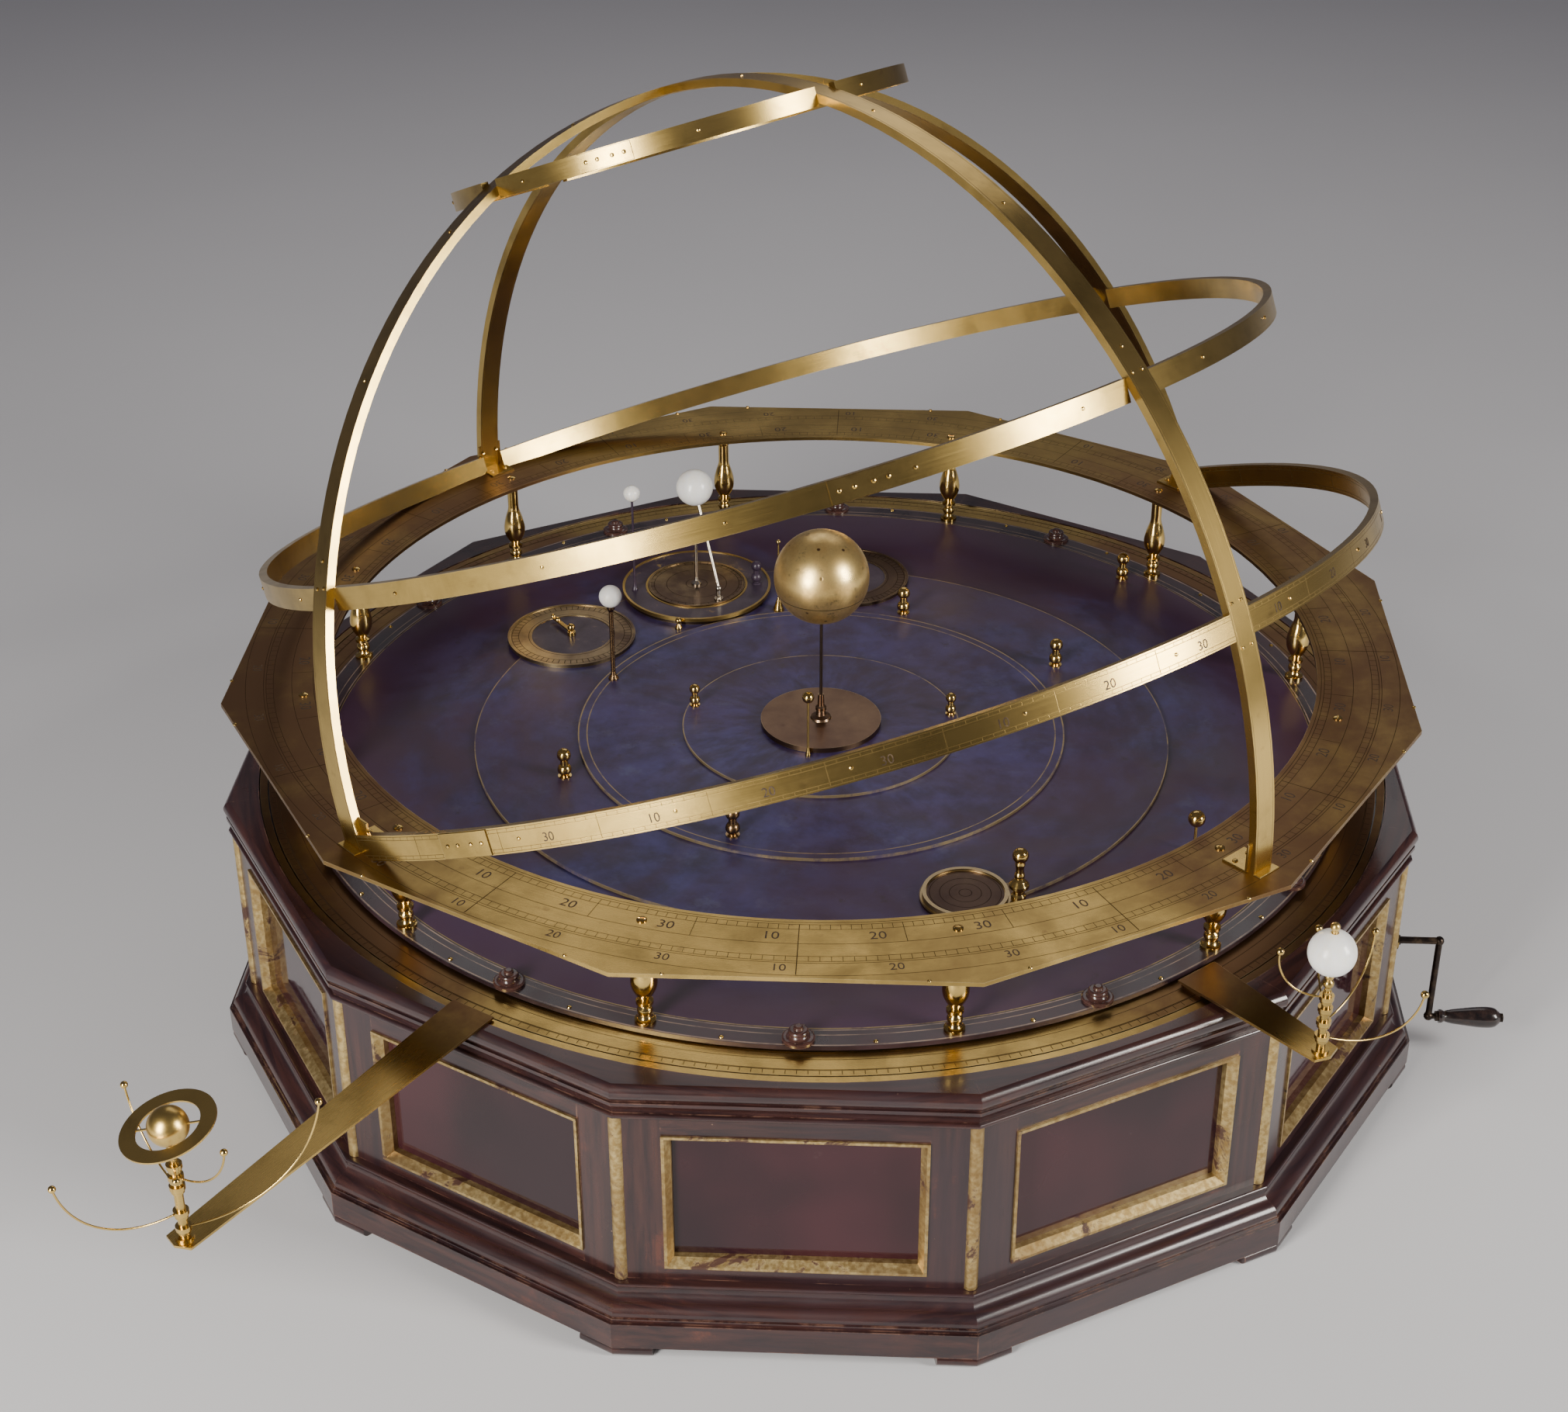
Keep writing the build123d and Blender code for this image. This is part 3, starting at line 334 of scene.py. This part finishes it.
def painted_plate(name, edge_r, purple, lines=(), edge_w=0.0011):
    """Mottled blue paint on a brass plate, with brown patches, turning darker purple-brown outwards as painted
    shade, with worn scribed circles.
    """
    p = Paint(name)
    r, angle = p.polar()
    cloud = p.noise(5, 9, 0.68, warp=0.8)
    strokes = p.noise(1, 5, 0.62, vector=p.join(p.math("MULTIPLY", r, 34), p.math("MULTIPLY", angle, 7), 0.0))
    mottle = p.math("ADD", p.math("MULTIPLY", cloud, 0.6), p.math("MULTIPLY", strokes, 0.4))
    colour = p.mix(p.fade(mottle, 0.38, 0.64), (0.016, 0.009, 0.034), (0.052, 0.048, 0.16))
    scuff = p.math("MULTIPLY", p.fade(p.noise(26, 7, 0.74), 0.53, 0.68), p.fade(cloud, 0.4, 0.6))
    colour = p.mix(p.math("MULTIPLY", scuff, 0.55), colour, (0.085, 0.095, 0.19))
    # Brown patches at random, plus painted shade: darker purple-brown towards the outer edge, where the
    # ecliptic ring shades the plates.
    brown = p.math("MULTIPLY", p.fade(p.noise(3.2, 6, 0.64, warp=0.5), 0.35, 0.55), purple)
    brown = p.most(brown, p.fade(r, 0.33, 0.5, 0, purple))
    colour = p.mix(brown, colour, (0.046, 0.017, 0.038))
    stain = p.fade(p.noise(48, 5, 0.66), 0.62, 0.74, 0, 0.6)
    colour = p.mix(stain, colour, (0.024, 0.013, 0.012))
    bare = p.within(r, edge_r - edge_w, edge_r + 0.01, 0.0002)
    for radius in lines:
        bare = p.most(bare, p.line(r, radius, 0.0006))
    bare = p.math("MULTIPLY", bare, p.fade(p.noise(24, 5, 0.7), 0.36, 0.56, 0.12, 0.85))
    colour = p.mix(bare, colour, (0.42, 0.32, 0.16))
    rough = p.fade(cloud, 0.3, 0.7, 0.3, 0.48)
    height = p.math("SUBTRACT", p.math("MULTIPLY", p.noise(260, 3), 0.3), p.math("MULTIPLY", stain, 0.4))
    return p.finish(colour, rough, height, 0.0002, 0.3, Metallic=p.math("MULTIPLY", bare, 0.9))


def ivory(name, cap_z=1.0):
    """Old ivory: almost white, with faint yellow grain and a few stains; brass above cap_z."""
    p = Paint(name)
    grain = p.noise(1, 4, 0.6, vector=p.join(p.math("MULTIPLY", p.x, 90), p.math("MULTIPLY", p.y, 90),
                                             p.math("MULTIPLY", p.z, 25)))
    colour = p.mix(p.fade(grain, 0.35, 0.7), (0.98, 0.97, 0.94), (0.93, 0.90, 0.82))
    colour = p.mix(p.fade(p.noise(45, 6, 0.66), 0.6, 0.76, 0, 0.25), colour, (0.68, 0.55, 0.40))
    cap = p.fade(p.z, cap_z - 0.0002, cap_z)
    return p.finish(p.mix(cap, colour, PALE), p.fade(grain, 0.3, 0.7, 0.2, 0.34), grain, 0.0001, 0.15,
                    Metallic=cap, Subsurface_Weight=0.2, Subsurface_Radius=(0.004, 0.003, 0.002),
                    Coat_Weight=0.3, Coat_Roughness=0.12)


def paint_node(name, material):
    mesh = nodes[name].data
    mesh.materials.clear()
    mesh.materials.append(material)


# ---- camera, floor and light ----------------------------------------------------------------------
def stage_scene():
    forward = Vector((sin(YAW) * cos(PITCH), cos(YAW) * cos(PITCH), -sin(PITCH)))
    level = Vector((cos(YAW), -sin(YAW), 0))
    upright = level.cross(forward)
    right = level * cos(ROLL) + upright * sin(ROLL)
    top = upright * cos(ROLL) - level * sin(ROLL)
    camera = bpy.data.objects.new("camera", bpy.data.cameras.new("camera"))
    camera.data.sensor_width = 36
    camera.data.lens = LENS
    camera.data.clip_end = 60
    turn = Matrix((right, top, -forward)).transposed().to_4x4()
    camera.matrix_world = Matrix.Translation(EYE) @ turn
    bpy.context.scene.collection.objects.link(camera)
    bpy.context.scene.camera = camera

    mesh = bpy.data.meshes.new("floor")
    half = 14.0
    corners = [(-half, -half, 0), (half, -half, 0), (half, half, 0), (-half, half, 0)]
    mesh.from_pydata(corners, [], [(0, 1, 2, 3)])
    floor = bpy.data.objects.new("floor", mesh)
    bpy.context.scene.collection.objects.link(floor)
    p = Paint("floor_paper")
    tone = p.mix(p.noise(1.5, 3), (0.62, 0.62, 0.64), (0.66, 0.66, 0.68))
    mesh.materials.append(p.finish(tone, 0.75, p.noise(400, 2), 0.0002, 0.1))

    world = bpy.data.worlds.new("studio")
    bpy.context.scene.world = world
    world.use_nodes = True
    sky = world.node_tree.nodes["Background"]
    sky.inputs["Color"].default_value = (0.36, 0.34, 0.42, 1)
    sky.inputs["Strength"].default_value = 0.24

    def softbox(name, place, aim, size, power, tint):
        lamp = bpy.data.lights.new(name, "AREA")
        lamp.shape, lamp.size, lamp.size_y = "RECTANGLE", *size
        lamp.energy, lamp.color = power, tint
        holder = bpy.data.objects.new(name, lamp)
        holder.location = place
        holder.rotation_euler = (Vector(aim) - Vector(place)).to_track_quat("-Z", "Y").to_euler()
        bpy.context.scene.collection.objects.link(holder)

    softbox("left", (-1.75, -3.0, 1.5), (0, 0, 0.5), (0.95, 2.1), 195, WARM)
    softbox("right", (3.2, -1.5, 1.75), (0, 0, 0.5), (0.95, 1.7), 145, WARM)
    softbox("back", (0.1, 2.5, 2.7), (0, -0.1, 0.3), (2.6, 1.8), 13, (1, 0.95, 0.93))


# ---- added pieces ----------------------------------------------------------------------------------
class Piece:
    """The mesh of one added piece, gathered from small solids."""

    def __init__(self):
        self.points, self.faces = [], []

    def sections(self, rows):
        """A solid through closed sections that all have the same number of points."""
        first, count = len(self.points), len(rows[0])
        for row in rows:
            self.points += row
        for k in range(len(rows) - 1):
            for i in range(count):
                j = (i + 1) % count
                a = first + k * count
                self.faces.append((a + i, a + j, a + count + j, a + count + i))
        self.faces.append(tuple(first + i for i in range(count)))
        last = first + (len(rows) - 1) * count
        self.faces.append(tuple(last + i for i in range(count)))

    def turned(self, place, normal, profile, sides=20):
        """A turned solid that stands at a place: (radius, height) pairs along its normal."""
        normal = Vector(normal).normalized()
        u = normal.orthogonal().normalized()
        v = normal.cross(u)
        steps = [2 * pi * k / sides for k in range(sides)]
        self.sections([[place + normal * h + (u * cos(t) + v * sin(t)) * max(r, 1e-5) for t in steps]
                       for r, h in profile])

    def screw(self, place, normal, r=0.0024):
        """A low domed screw head."""
        self.turned(place, normal, ((r, -0.0004), (r, r * 0.25), (r * 0.82, r * 0.5), (r * 0.4, r * 0.66),
                                    (0, r * 0.7)), 16)

    def leaf(self, place, x_dir, y_dir, size_x, size_y, thick, chamfer=0.0005):
        """A flat plate that lies on a surface, with its upper edges broken."""
        normal = x_dir.cross(y_dir)
        rows = []
        for inset, h in ((0, 0), (0, thick - chamfer), (chamfer, thick)):
            hx, hy = size_x / 2 - inset, size_y / 2 - inset
            rows.append([place + x_dir * a + y_dir * b + normal * h
                         for a, b in ((-hx, -hy), (hx, -hy), (hx, hy), (-hx, hy))])
        self.sections(rows)

    def band(self, hoop, low, high, angle0, angle1, half_w, steps=24, chamfer=0.0004):
        """A bent strip on a hoop, between two radii and two angles in degrees."""
        section = ((low, -half_w), (high - chamfer, -half_w), (high, chamfer - half_w),
                   (high, half_w - chamfer), (high - chamfer, half_w), (low, half_w))
        rows = []
        for k in range(steps + 1):
            angle = angle0 + (angle1 - angle0) * k / steps
            rows.append([hoop.point(r, angle, w) for r, w in section])
        self.sections(rows)

    def text(self, body, place, right, up, size):
        """Numerals that lie on a surface."""
        curve = bpy.data.curves.new("numeral", "FONT")
        curve.body, curve.size, curve.align_x, curve.align_y = body, size, "CENTER", "CENTER"
        curve.extrude, curve.resolution_u = 0.00004, 3
        holder = bpy.data.objects.new("numeral", curve)
        mesh = bpy.data.meshes.new_from_object(holder)
        first = len(self.points)
        normal = right.cross(up)
        self.points += [place + right * v.co.x + up * v.co.y + normal * (v.co.z + 0.00003)
                        for v in mesh.vertices]
        self.faces += [tuple(first + i for i in face.vertices) for face in mesh.polygons]
        bpy.data.objects.remove(holder)
        bpy.data.meshes.remove(mesh)

    def place(self, name, material, body="case"):
        mesh = bpy.data.meshes.new(name)
        mesh.from_pydata([tuple(p) for p in self.points], [], self.faces)
        work = bmesh.new()
        work.from_mesh(mesh)
        bmesh.ops.recalc_face_normals(work, faces=work.faces)
        work.to_mesh(mesh)
        work.free()
        mesh.materials.append(material)
        piece = bpy.data.objects.new(name, mesh)
        bpy.context.scene.collection.objects.link(piece)
        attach(piece, body)


class Hoop:
    """A hoop of the sky: a circle about an axis, with angles from u towards v."""

    def __init__(self, centre, axis, u, radius):
        self.centre, self.axis, self.u, self.radius = centre, axis.normalized(), u.normalized(), radius
        self.v = self.axis.cross(self.u)

    def out(self, angle):
        return self.u * cos(radians(angle)) + self.v * sin(radians(angle))

    def along(self, angle):
        return self.v * cos(radians(angle)) - self.u * sin(radians(angle))

    def point(self, r, angle, w=0.0):
        return self.centre + self.out(angle) * r + self.axis * w


def sky_hoops():
    tropic_pole = polar(sin(TROPIC_LEAN), TROPIC_AZ, cos(TROPIC_LEAN))
    tropic_u = (SIDEWAYS - tropic_pole * SIDEWAYS.dot(tropic_pole)).normalized()
    return {
        "equator": Hoop(HEART, POLE, SIDEWAYS, SPHERE_R),
        "tropic": Hoop(HEART + tropic_pole * TROPIC_H, tropic_pole, tropic_u, TROPIC_R),
        "polar": Hoop(HEART + POLE * SPHERE_R * cos(OBLIQUITY), POLE, SIDEWAYS,
                      SPHERE_R * sin(OBLIQUITY)),
        "solstitial": Hoop(HEART, SIDEWAYS, POLE, SPHERE_R),
        "equinoctial": Hoop(HEART, TILTED, POLE, SPHERE_R),
    }


def sky_fittings(metal, screw_metal):
    """Splices, cross straps, screws and feet of the armillary bands."""
    hoops = sky_hoops()
    face = BAND_T / 2
    straps, screws = Piece(), Piece()

    def splice(name, angle, degrees, half_w):
        hoop = hoops[name]
        straps.band(hoop, hoop.radius + face - 0.0002, hoop.radius + face + 0.0011, angle - degrees / 2,
                    angle + degrees / 2, half_w)
        for share in (-0.36, -0.14, 0.14, 0.36):
            at = angle + degrees * share
            screws.screw(hoop.point(hoop.radius + face + 0.0010, at), hoop.out(at), 0.0020)

    for angle in (20, 240):
        splice("tropic", angle, 6.5, 0.0101)
    for angle in (196, 345):
        splice("equator", angle, 5.5, 0.0116)
    for angle in (35, 215):
        splice("polar", angle, 13, 0.0086)

    for name, step, start in (("equator", 15, 7), ("tropic", 18, 11), ("polar", 45, 12)):
        hoop = hoops[name]
        for k in range(int(360 / step)):
            at = start + k * step
            place = hoop.point(hoop.radius + face, at)
            if place.z > RING_TOP + 0.03:
                screws.screw(place, hoop.out(at), 0.0017)
    for name in ("solstitial", "equinoctial"):
        hoop = hoops[name]
        for at in (-64, -47, -30, 12, 30, 47, 64, 66.5, 88, 92, -88, -92):
            for side in (-0.006, 0.006) if abs(at) > 65 else (0.0,):
                place = hoop.point(hoop.radius + face, at, side)
                if place.z > RING_TOP + 0.05:
                    screws.screw(place, hoop.out(at), 0.0017)

    # a foot where each colure stands on the ecliptic ring
    for az in (45, 135, -45, -135):
        out = polar(1, az)
        side = UP.cross(out)
        base = out * (SPHERE_R - face - 0.0125) + UP * RING_TOP
        straps.leaf(base, side, -out, 0.030, 0.025, 0.0022)
        straps.leaf(out * (SPHERE_R - face) + UP * (RING_TOP + 0.0145), side, UP, 0.030, 0.029, 0.0020)
        for shift in (-0.009, 0.009):
            screws.screw(base + side * shift + UP * 0.0021 - out * 0.003, UP, 0.0026)
            screws.screw(out * (SPHERE_R - face - 0.0019) + side * shift + UP * (RING_TOP + 0.020), -out,
                         0.0022)
        straps.leaf(out * (SPHERE_R + face + 0.004) + UP * RING_TOP, side, -out, 0.027, 0.008, 0.0014)
    straps.place("band_straps", metal)
    screws.place("band_screws", screw_metal)


def numerals(ink):
    """Degree and day numbers on the ecliptic ring, and degrees on the equator."""
    marks = Piece()
    for k in range(36):
        number = str(10 * (k % 3 + 1))
        for r, az, size in ((0.5205, 10 * k - 2.6, 0.0155), (0.5660, 10 * k - 1.5, 0.0135)):
            out = polar(1, az)
            marks.text(number, out * r + UP * RING_TOP, UP.cross(out), -out, size)
    marks.place("ring_numerals", ink)

    hoop = sky_hoops()["equator"]
    marks = Piece()
    for k in range(36):
        at = 10 * k + 5
        place = hoop.point(hoop.radius + BAND_T / 2, at, -0.002)
        if place.z > RING_TOP + 0.02:
            marks.text(str(10 * (k % 3 + 1)), place, hoop.along(at), hoop.axis, 0.0115)
    marks.place("equator_numerals", ink)


def small_fittings(metal, dark):
    """Pins in the table's rim and the ecliptic ring, and the screws of the crank's bush."""
    pins = Piece()
    for k in range(12):
        for off in (-7.3, 7.3):
            pins.screw(polar(PIN_R, 30 * k + off, RIM_TOP), UP, 0.0022)
    for k in range(12):
        for off in (-4.2, 4.2):
            pins.screw(polar(RING_PIN_R, 30 * k + 15 + off, RING_TOP), UP, 0.0019)
    pins.place("rim_pins", metal)

    screws = Piece()
    for k in range(4):
        angle = radians(45 + 90 * k)
        offset = Vector((0, cos(angle), sin(angle))) * BUSH_SCREW_R
        screws.screw(BUSH_FACE + offset, (1, 0, 0), 0.0014)
    screws.place("bush_screws", dark)


# ---- finishes on the CAD nodes ---------------------------------------------------------------------
def sky_coordinates(p):
    """Height along the pole and angle round it, for the equator, tropic and polar circle."""
    q = p.shift(p.where, HEART)
    height = p.dot(q, POLE)
    return height, p.math("ARCTAN2", p.dot(q, TILTED), p.dot(q, SIDEWAYS))


def circle_streaks(p):
    height, angle = sky_coordinates(p)
    return p.join(p.math("MULTIPLY", height, 2000), p.math("MULTIPLY", angle, 9), p.math("MULTIPLY", p.z, 20))


def circle_cut(p):
    """Division lines along both edges of the equator and short strokes between them."""
    height, angle = sky_coordinates(p)
    off = p.math("ABSOLUTE", height)
    rails = p.most(p.line(off, 0.0104, 0.00022), p.line(off, 0.0072, 0.0002))
    degrees = p.math("MULTIPLY", p.ticks(angle, 1, SPHERE_R, 0.00022), p.within(off, 0.0072, 0.0104))
    tens = p.math("MULTIPLY", p.ticks(angle, 10, SPHERE_R, 0.0003), p.fade(off, 0.0102, 0.0106, 1, 0))
    return p.most(rails, degrees, tens)


def colure_place(p):
    """Distance across whichever colure band the point is on, and height above the ring."""
    q = p.shift(p.where, HEART)
    first, second = p.dot(q, SIDEWAYS), p.dot(q, TILTED)
    on_first = p.math("LESS_THAN", p.math("ABSOLUTE", first), 0.0125)
    across = p.math("ADD", p.math("MULTIPLY", first, on_first),
                    p.math("MULTIPLY", second, p.math("SUBTRACT", 1, on_first)))
    return across, p.dot(q, POLE)


def colure_streaks(p):
    across, height = colure_place(p)
    return p.join(p.math("MULTIPLY", across, 2000), p.math("MULTIPLY", p.z, 14),
                  p.math("MULTIPLY", height, 5))


def colure_cut(p):
    across, _ = colure_place(p)
    return p.line(p.math("ABSOLUTE", across), 0.0100, 0.0002)


def ring_scale(p):
    """Zodiac and calendar divisions on the ecliptic ring."""
    r, angle = p.polar()
    top = p.fade(p.z, RING_TOP - 0.0006, RING_TOP - 0.0002)
    circles = p.most(*[p.line(r, at * MM, 0.00028) for at in (500, 503, 510, 531, 549, 556, 558.5, 576)])
    days = p.math("MULTIPLY", p.ticks(angle, 1, 0.55, 0.00024), p.within(r, 0.549, 0.556))
    degrees = p.math("MULTIPLY", p.ticks(angle, 1, 0.5, 0.00024), p.within(r, 0.503, 0.510))
    tens = p.math("MULTIPLY", p.ticks(angle, 10, 0.53, 0.0003), p.within(r, 0.503, 0.531))
    signs = p.math("MULTIPLY", p.ticks(angle, 30, 0.53, 0.0004), p.within(r, 0.503, 0.575))
    return p.math("MULTIPLY", top, p.most(circles, days, degrees, tens, signs))


def ring_turning(p):
    """Two grooves and the division strokes on Jupiter's ring."""
    r, angle = p.polar()
    strokes = p.math("MULTIPLY", p.ticks(angle, 1, 0.56, 0.0003), p.within(r, 0.5575, 0.5625))
    return p.most(p.line(r, 0.5560, 0.0004), p.line(r, 0.5570, 0.0003), p.line(r, 0.5420, 0.0003), strokes)


EARTH_DIAL = polar(0.335, 117)
SIDE_DIALS = [polar(0.335, 147), polar(0.335, 87)]
FRONT_DIAL = polar(0.339, -64.5)


def dial_finish():
    """The dials: brown brass with engraved circles, and painted middles in the side dials."""
    def cut(p):
        r, angle = p.polar(EARTH_DIAL)
        rows = [p.line(r, at, 0.00035) for at in (0.012, 0.034, 0.048)]
        rows.append(p.math("MULTIPLY", p.ticks(angle, 10, 0.05, 0.0004), p.within(r, 0.048, 0.0525)))
        for centre in SIDE_DIALS:
            r, angle = p.polar(centre)
            rows += [p.line(r, at, 0.00035) for at in (0.0470, 0.0580, 0.0655)]
            rows.append(p.math("MULTIPLY", p.ticks(angle, 6, 0.06, 0.0004), p.within(r, 0.058, 0.0655)))
        r, _ = p.polar(FRONT_DIAL)
        rows += [p.line(r, at, 0.0003) for at in (0.006, 0.015, 0.024, 0.0335)]
        return p.most(*rows)

    def dirt_and_shade(p):
        front, _ = p.polar(FRONT_DIAL)
        rim = p.within(front, 0.0365, 0.042, 0.0004)
        low = p.within(front, 0.0, 0.0365)
        return p.math("SUBTRACT", p.math("MULTIPLY", low, 0.1), p.math("MULTIPLY", rim, 0.5))

    def wells(p):
        return p.most(*[p.within(p.polar(centre)[0], -1, 0.0437) for centre in SIDE_DIALS])

    return brass("dial_brass", None, cut, dirt_and_shade, patina=1.0, shine=0.32, clean=(0.46, 0.36, 0.20),
                 dull=(0.12, 0.08, 0.056), dark=(0.06, 0.036, 0.036), painted=wells)


def moon_ring_finish():
    """Brass with bare lips and purple-brown paint between them."""
    def between(p):
        return p.within(p.polar(EARTH_DIAL)[0], 0.0576, 0.0813)
    return brass("moon_ring_brass", patina=0.9, shine=0.32, painted=between)


def dress_case():
    side, post = wood("mahogany"), wood("mahogany_upright", upright=True)
    for name in ("base_moulding", "bracket_feet", "panel_rails", "cornice", "ring_bearer", "base_board",
                 "table_board", "table_legs"):
        paint_node(name, side)
    paint_node("corner_posts", post)
    paint_node("corner_strips", gilding("strip_gilding", 0.42))
    paint_node("panel_mouldings", gilding("panel_gilding"))

    p = Paint("old_glass")
    dust = p.noise(60, 7, 0.72)
    colour = p.mix(p.fade(p.noise(4, 3, 0.5), 0.4, 0.65), (0.018, 0.007, 0.010), (0.042, 0.012, 0.016))
    colour = p.mix(p.fade(dust, 0.62, 0.8, 0, 0.3), colour, (0.12, 0.09, 0.09))
    paint_node("glass_panes", p.finish(colour, p.fade(dust, 0.4, 0.8, 0.04, 0.14), p.noise(3, 1, 0.3),
                                       0.002, 0.05, IOR=1.42, Coat_Weight=0.25, Coat_Roughness=0.02))

    p = Paint("rim_lacquer")
    r, _ = p.polar()
    cloud = p.noise(12, 6, 0.65)
    colour = p.mix(p.fade(cloud, 0.35, 0.7), (0.016, 0.009, 0.012), (0.04, 0.021, 0.026))
    # Thin light lines round the rim: painted edge highlights.
    ring = p.most(p.line(r, 0.5090, 0.0006), p.line(r, 0.5160, 0.0005), p.line(r, 0.5304, 0.0007))
    ring = p.math("MULTIPLY", ring, p.fade(p.noise(20, 5, 0.7), 0.35, 0.6, 0.2, 1))
    colour = p.mix(ring, colour, (0.26, 0.18, 0.13))
    paint_node("table_rim", p.finish(colour, p.fade(cloud, 0.3, 0.7, 0.22, 0.42), p.noise(200, 3),
                                     0.0002, 0.3, Coat_Weight=0.4, Coat_Roughness=0.12))

    def dark_wood(name, low, high):
        p = Paint(name)
        grain = p.noise(1, 5, 0.6, vector=p.join(p.math("MULTIPLY", p.x, 120), p.math("MULTIPLY", p.y, 120),
                                                 p.math("MULTIPLY", p.z, 300)))
        colour = p.mix(p.fade(grain, 0.3, 0.7), low, high)
        # Paler along the edges: partly wear, partly a painted edge highlight.
        colour = p.mix(p.math("MULTIPLY", p.edges(0.0012), 0.5), colour, (0.2, 0.12, 0.09))
        return p.finish(colour, p.fade(grain, 0.3, 0.7, 0.18, 0.3), grain, 0.0002, 0.2, Coat_Weight=0.6,
                        Coat_Roughness=0.1)

    paint_node("crank_grip", dark_wood("ebony", (0.008, 0.006, 0.006), (0.03, 0.016, 0.012)))
    paint_node("hold_down_buttons", dark_wood("button_wood", (0.03, 0.013, 0.012), (0.075, 0.033, 0.028)))


def dress_plates():
    # The third number sets the brown patches and the painted shade towards each plate's outer edge.
    paint_node("mars_plate", painted_plate("mars_paint", PLATE_R["mars_plate"], 0.9))
    paint_node("earth_plate", painted_plate("earth_paint", PLATE_R["earth_plate"], 0.62))
    paint_node("venus_plate", painted_plate("venus_paint", PLATE_R["venus_plate"], 0.4, (0.2415,), 0.0015))
    paint_node("mercury_plate", painted_plate("mercury_paint", PLATE_R["mercury_plate"], 0.4))


def dress_brass():
    # The rings are painted darker at their left and right sides: painted shade.
    paint_node("jupiter_ring", brass("jupiter_ring_brass", around, ring_turning,
                                     sides_painted_shade(0.3, 0.72, 0.34), patina=0.55, shine=0.27))
    paint_node("saturn_ring", brass("saturn_ring_brass", around, None, sides_painted_shade(0.35, 0.75, 0.26),
                                    patina=0.45, shine=0.25))
    paint_node("ecliptic_ring", brass("ecliptic_brass", around, ring_scale, sides_painted_shade(0.4, 0.78, 0.3),
                                      patina=0.62, shine=0.28))
    paint_node("sky_circles", brass("circle_brass", circle_streaks, circle_cut, patina=0.42))
    paint_node("colure_bands", brass("colure_brass", colure_streaks, colure_cut, patina=0.42))
    # The arms are painted darker towards their inner ends: painted shade.
    for name, end in (("jupiter_arm", (0.57, 0.66)), ("saturn_arm", (0.56, 0.66))):
        centre = middle(name.replace("arm", "globe"))
        out = Vector((centre.x, centre.y, 0)).normalized()
        aside = Vector((-out.y, out.x, 0))
        paint_node(name, brass(name + "_brass", along(out, aside), None, inner_end_painted_shade(*end, 0.3), patina=0.5,
                               shine=0.26))
    bright = brass("turned_brass", patina=0.15, shine=0.15)
    for name in ("ecliptic_pillars", "ecliptic_screws", "mercury_fittings", "mars_fittings", "earth_fittings",
                 "dial_hand", "driving_arbor", "bearings", "mercury_wheel", "venus_wheel",
                 "earth_wheel", "mars_wheel"):
        paint_node(name, bright)
    paint_node("saturn_globe", brass("saturn_brass", patina=0.1, shine=0.3))
    for planet, count in (("jupiter", 4), ("saturn", 5)):
        for k in range(count):
            paint_node(f"{planet}_moon_{k + 1}", bright)
    paint_node("earth_axis", brass("axis_steel", patina=0.1, shine=0.2, clean=(0.62, 0.56, 0.46),
                                   dull=(0.42, 0.36, 0.26)))
    paint_node("venus_fittings", brass("venus_brass", patina=0.8, shine=0.26, clean=(0.42, 0.28, 0.13),
                                       dull=(0.24, 0.14, 0.07)))
    paint_node("plate_dials", dial_finish())
    paint_node("moon_ring", moon_ring_finish())
    paint_node("sun_socket", brass("socket_brass", around, patina=0.8, shine=0.3, clean=(0.26, 0.17, 0.10),
                                   dull=(0.17, 0.105, 0.07), dark=(0.10, 0.055, 0.04)))

    p = Paint("sun_gilding")
    wear, pits = p.noise(20, 8, 0.72), p.fade(p.cells(95), 0.1, 0.22, 1, 0)
    pits = p.math("MULTIPLY", pits, p.fade(p.noise(40, 3), 0.5, 0.62))
    colour = p.mix(p.fade(wear, 0.36, 0.62), (0.98, 0.72, 0.28), (0.66, 0.44, 0.16))
    colour = p.mix(p.fade(p.noise(55, 6, 0.7), 0.57, 0.7, 0, 0.7), colour, (0.24, 0.15, 0.07))
    colour = p.mix(pits, colour, (0.12, 0.06, 0.03))
    colour = p.mix(p.line(p.z, 0.4600, 0.0004), colour, (0.14, 0.08, 0.04))
    rod = p.fade(p.z, 0.427, 0.4285, 1, 0)
    colour = p.mix(rod, colour, (0.06, 0.04, 0.03))
    paint_node("sun_globe", p.finish(colour, p.fade(wear, 0.3, 0.7, 0.26, 0.44),
                                     p.math("SUBTRACT", wear, pits), 0.0006, 0.4, Metallic=0.92))

    p = Paint("blackened_steel")
    wear = p.noise(50, 6, 0.7)
    colour = p.mix(p.fade(wear, 0.45, 0.7), (0.035, 0.026, 0.022), (0.15, 0.10, 0.06))
    steel = p.finish(colour, p.fade(wear, 0.3, 0.7, 0.26, 0.46), wear, 0.0004, 0.3, Metallic=0.9)
    paint_node("crank_shaft", steel)
    paint_node("central_pillar", steel)

    white = ivory("ivory")
    for name in ("moon_globe", "venus_globe", "earth_globe"):
        paint_node(name, white)
    paint_node("jupiter_globe", ivory("jupiter_ivory", 0.4186))
    return bright, steel


def engraver_ink():
    p = Paint("numeral_ink")
    wear = p.noise(400, 4, 0.6)
    return p.finish(p.mix(p.fade(wear, 0.4, 0.7), INK, (0.11, 0.07, 0.035)),
                    p.fade(wear, 0.3, 0.7, 0.4, 0.6), wear, 0.00005, 0.2, Metallic=0.3)


stage_scene()
dress_case()
dress_plates()
turned_brass, dark_steel = dress_brass()
sky_fittings(brass("strap_brass", patina=0.5, shine=0.24), turned_brass)
numerals(engraver_ink())
small_fittings(turned_brass, dark_steel)
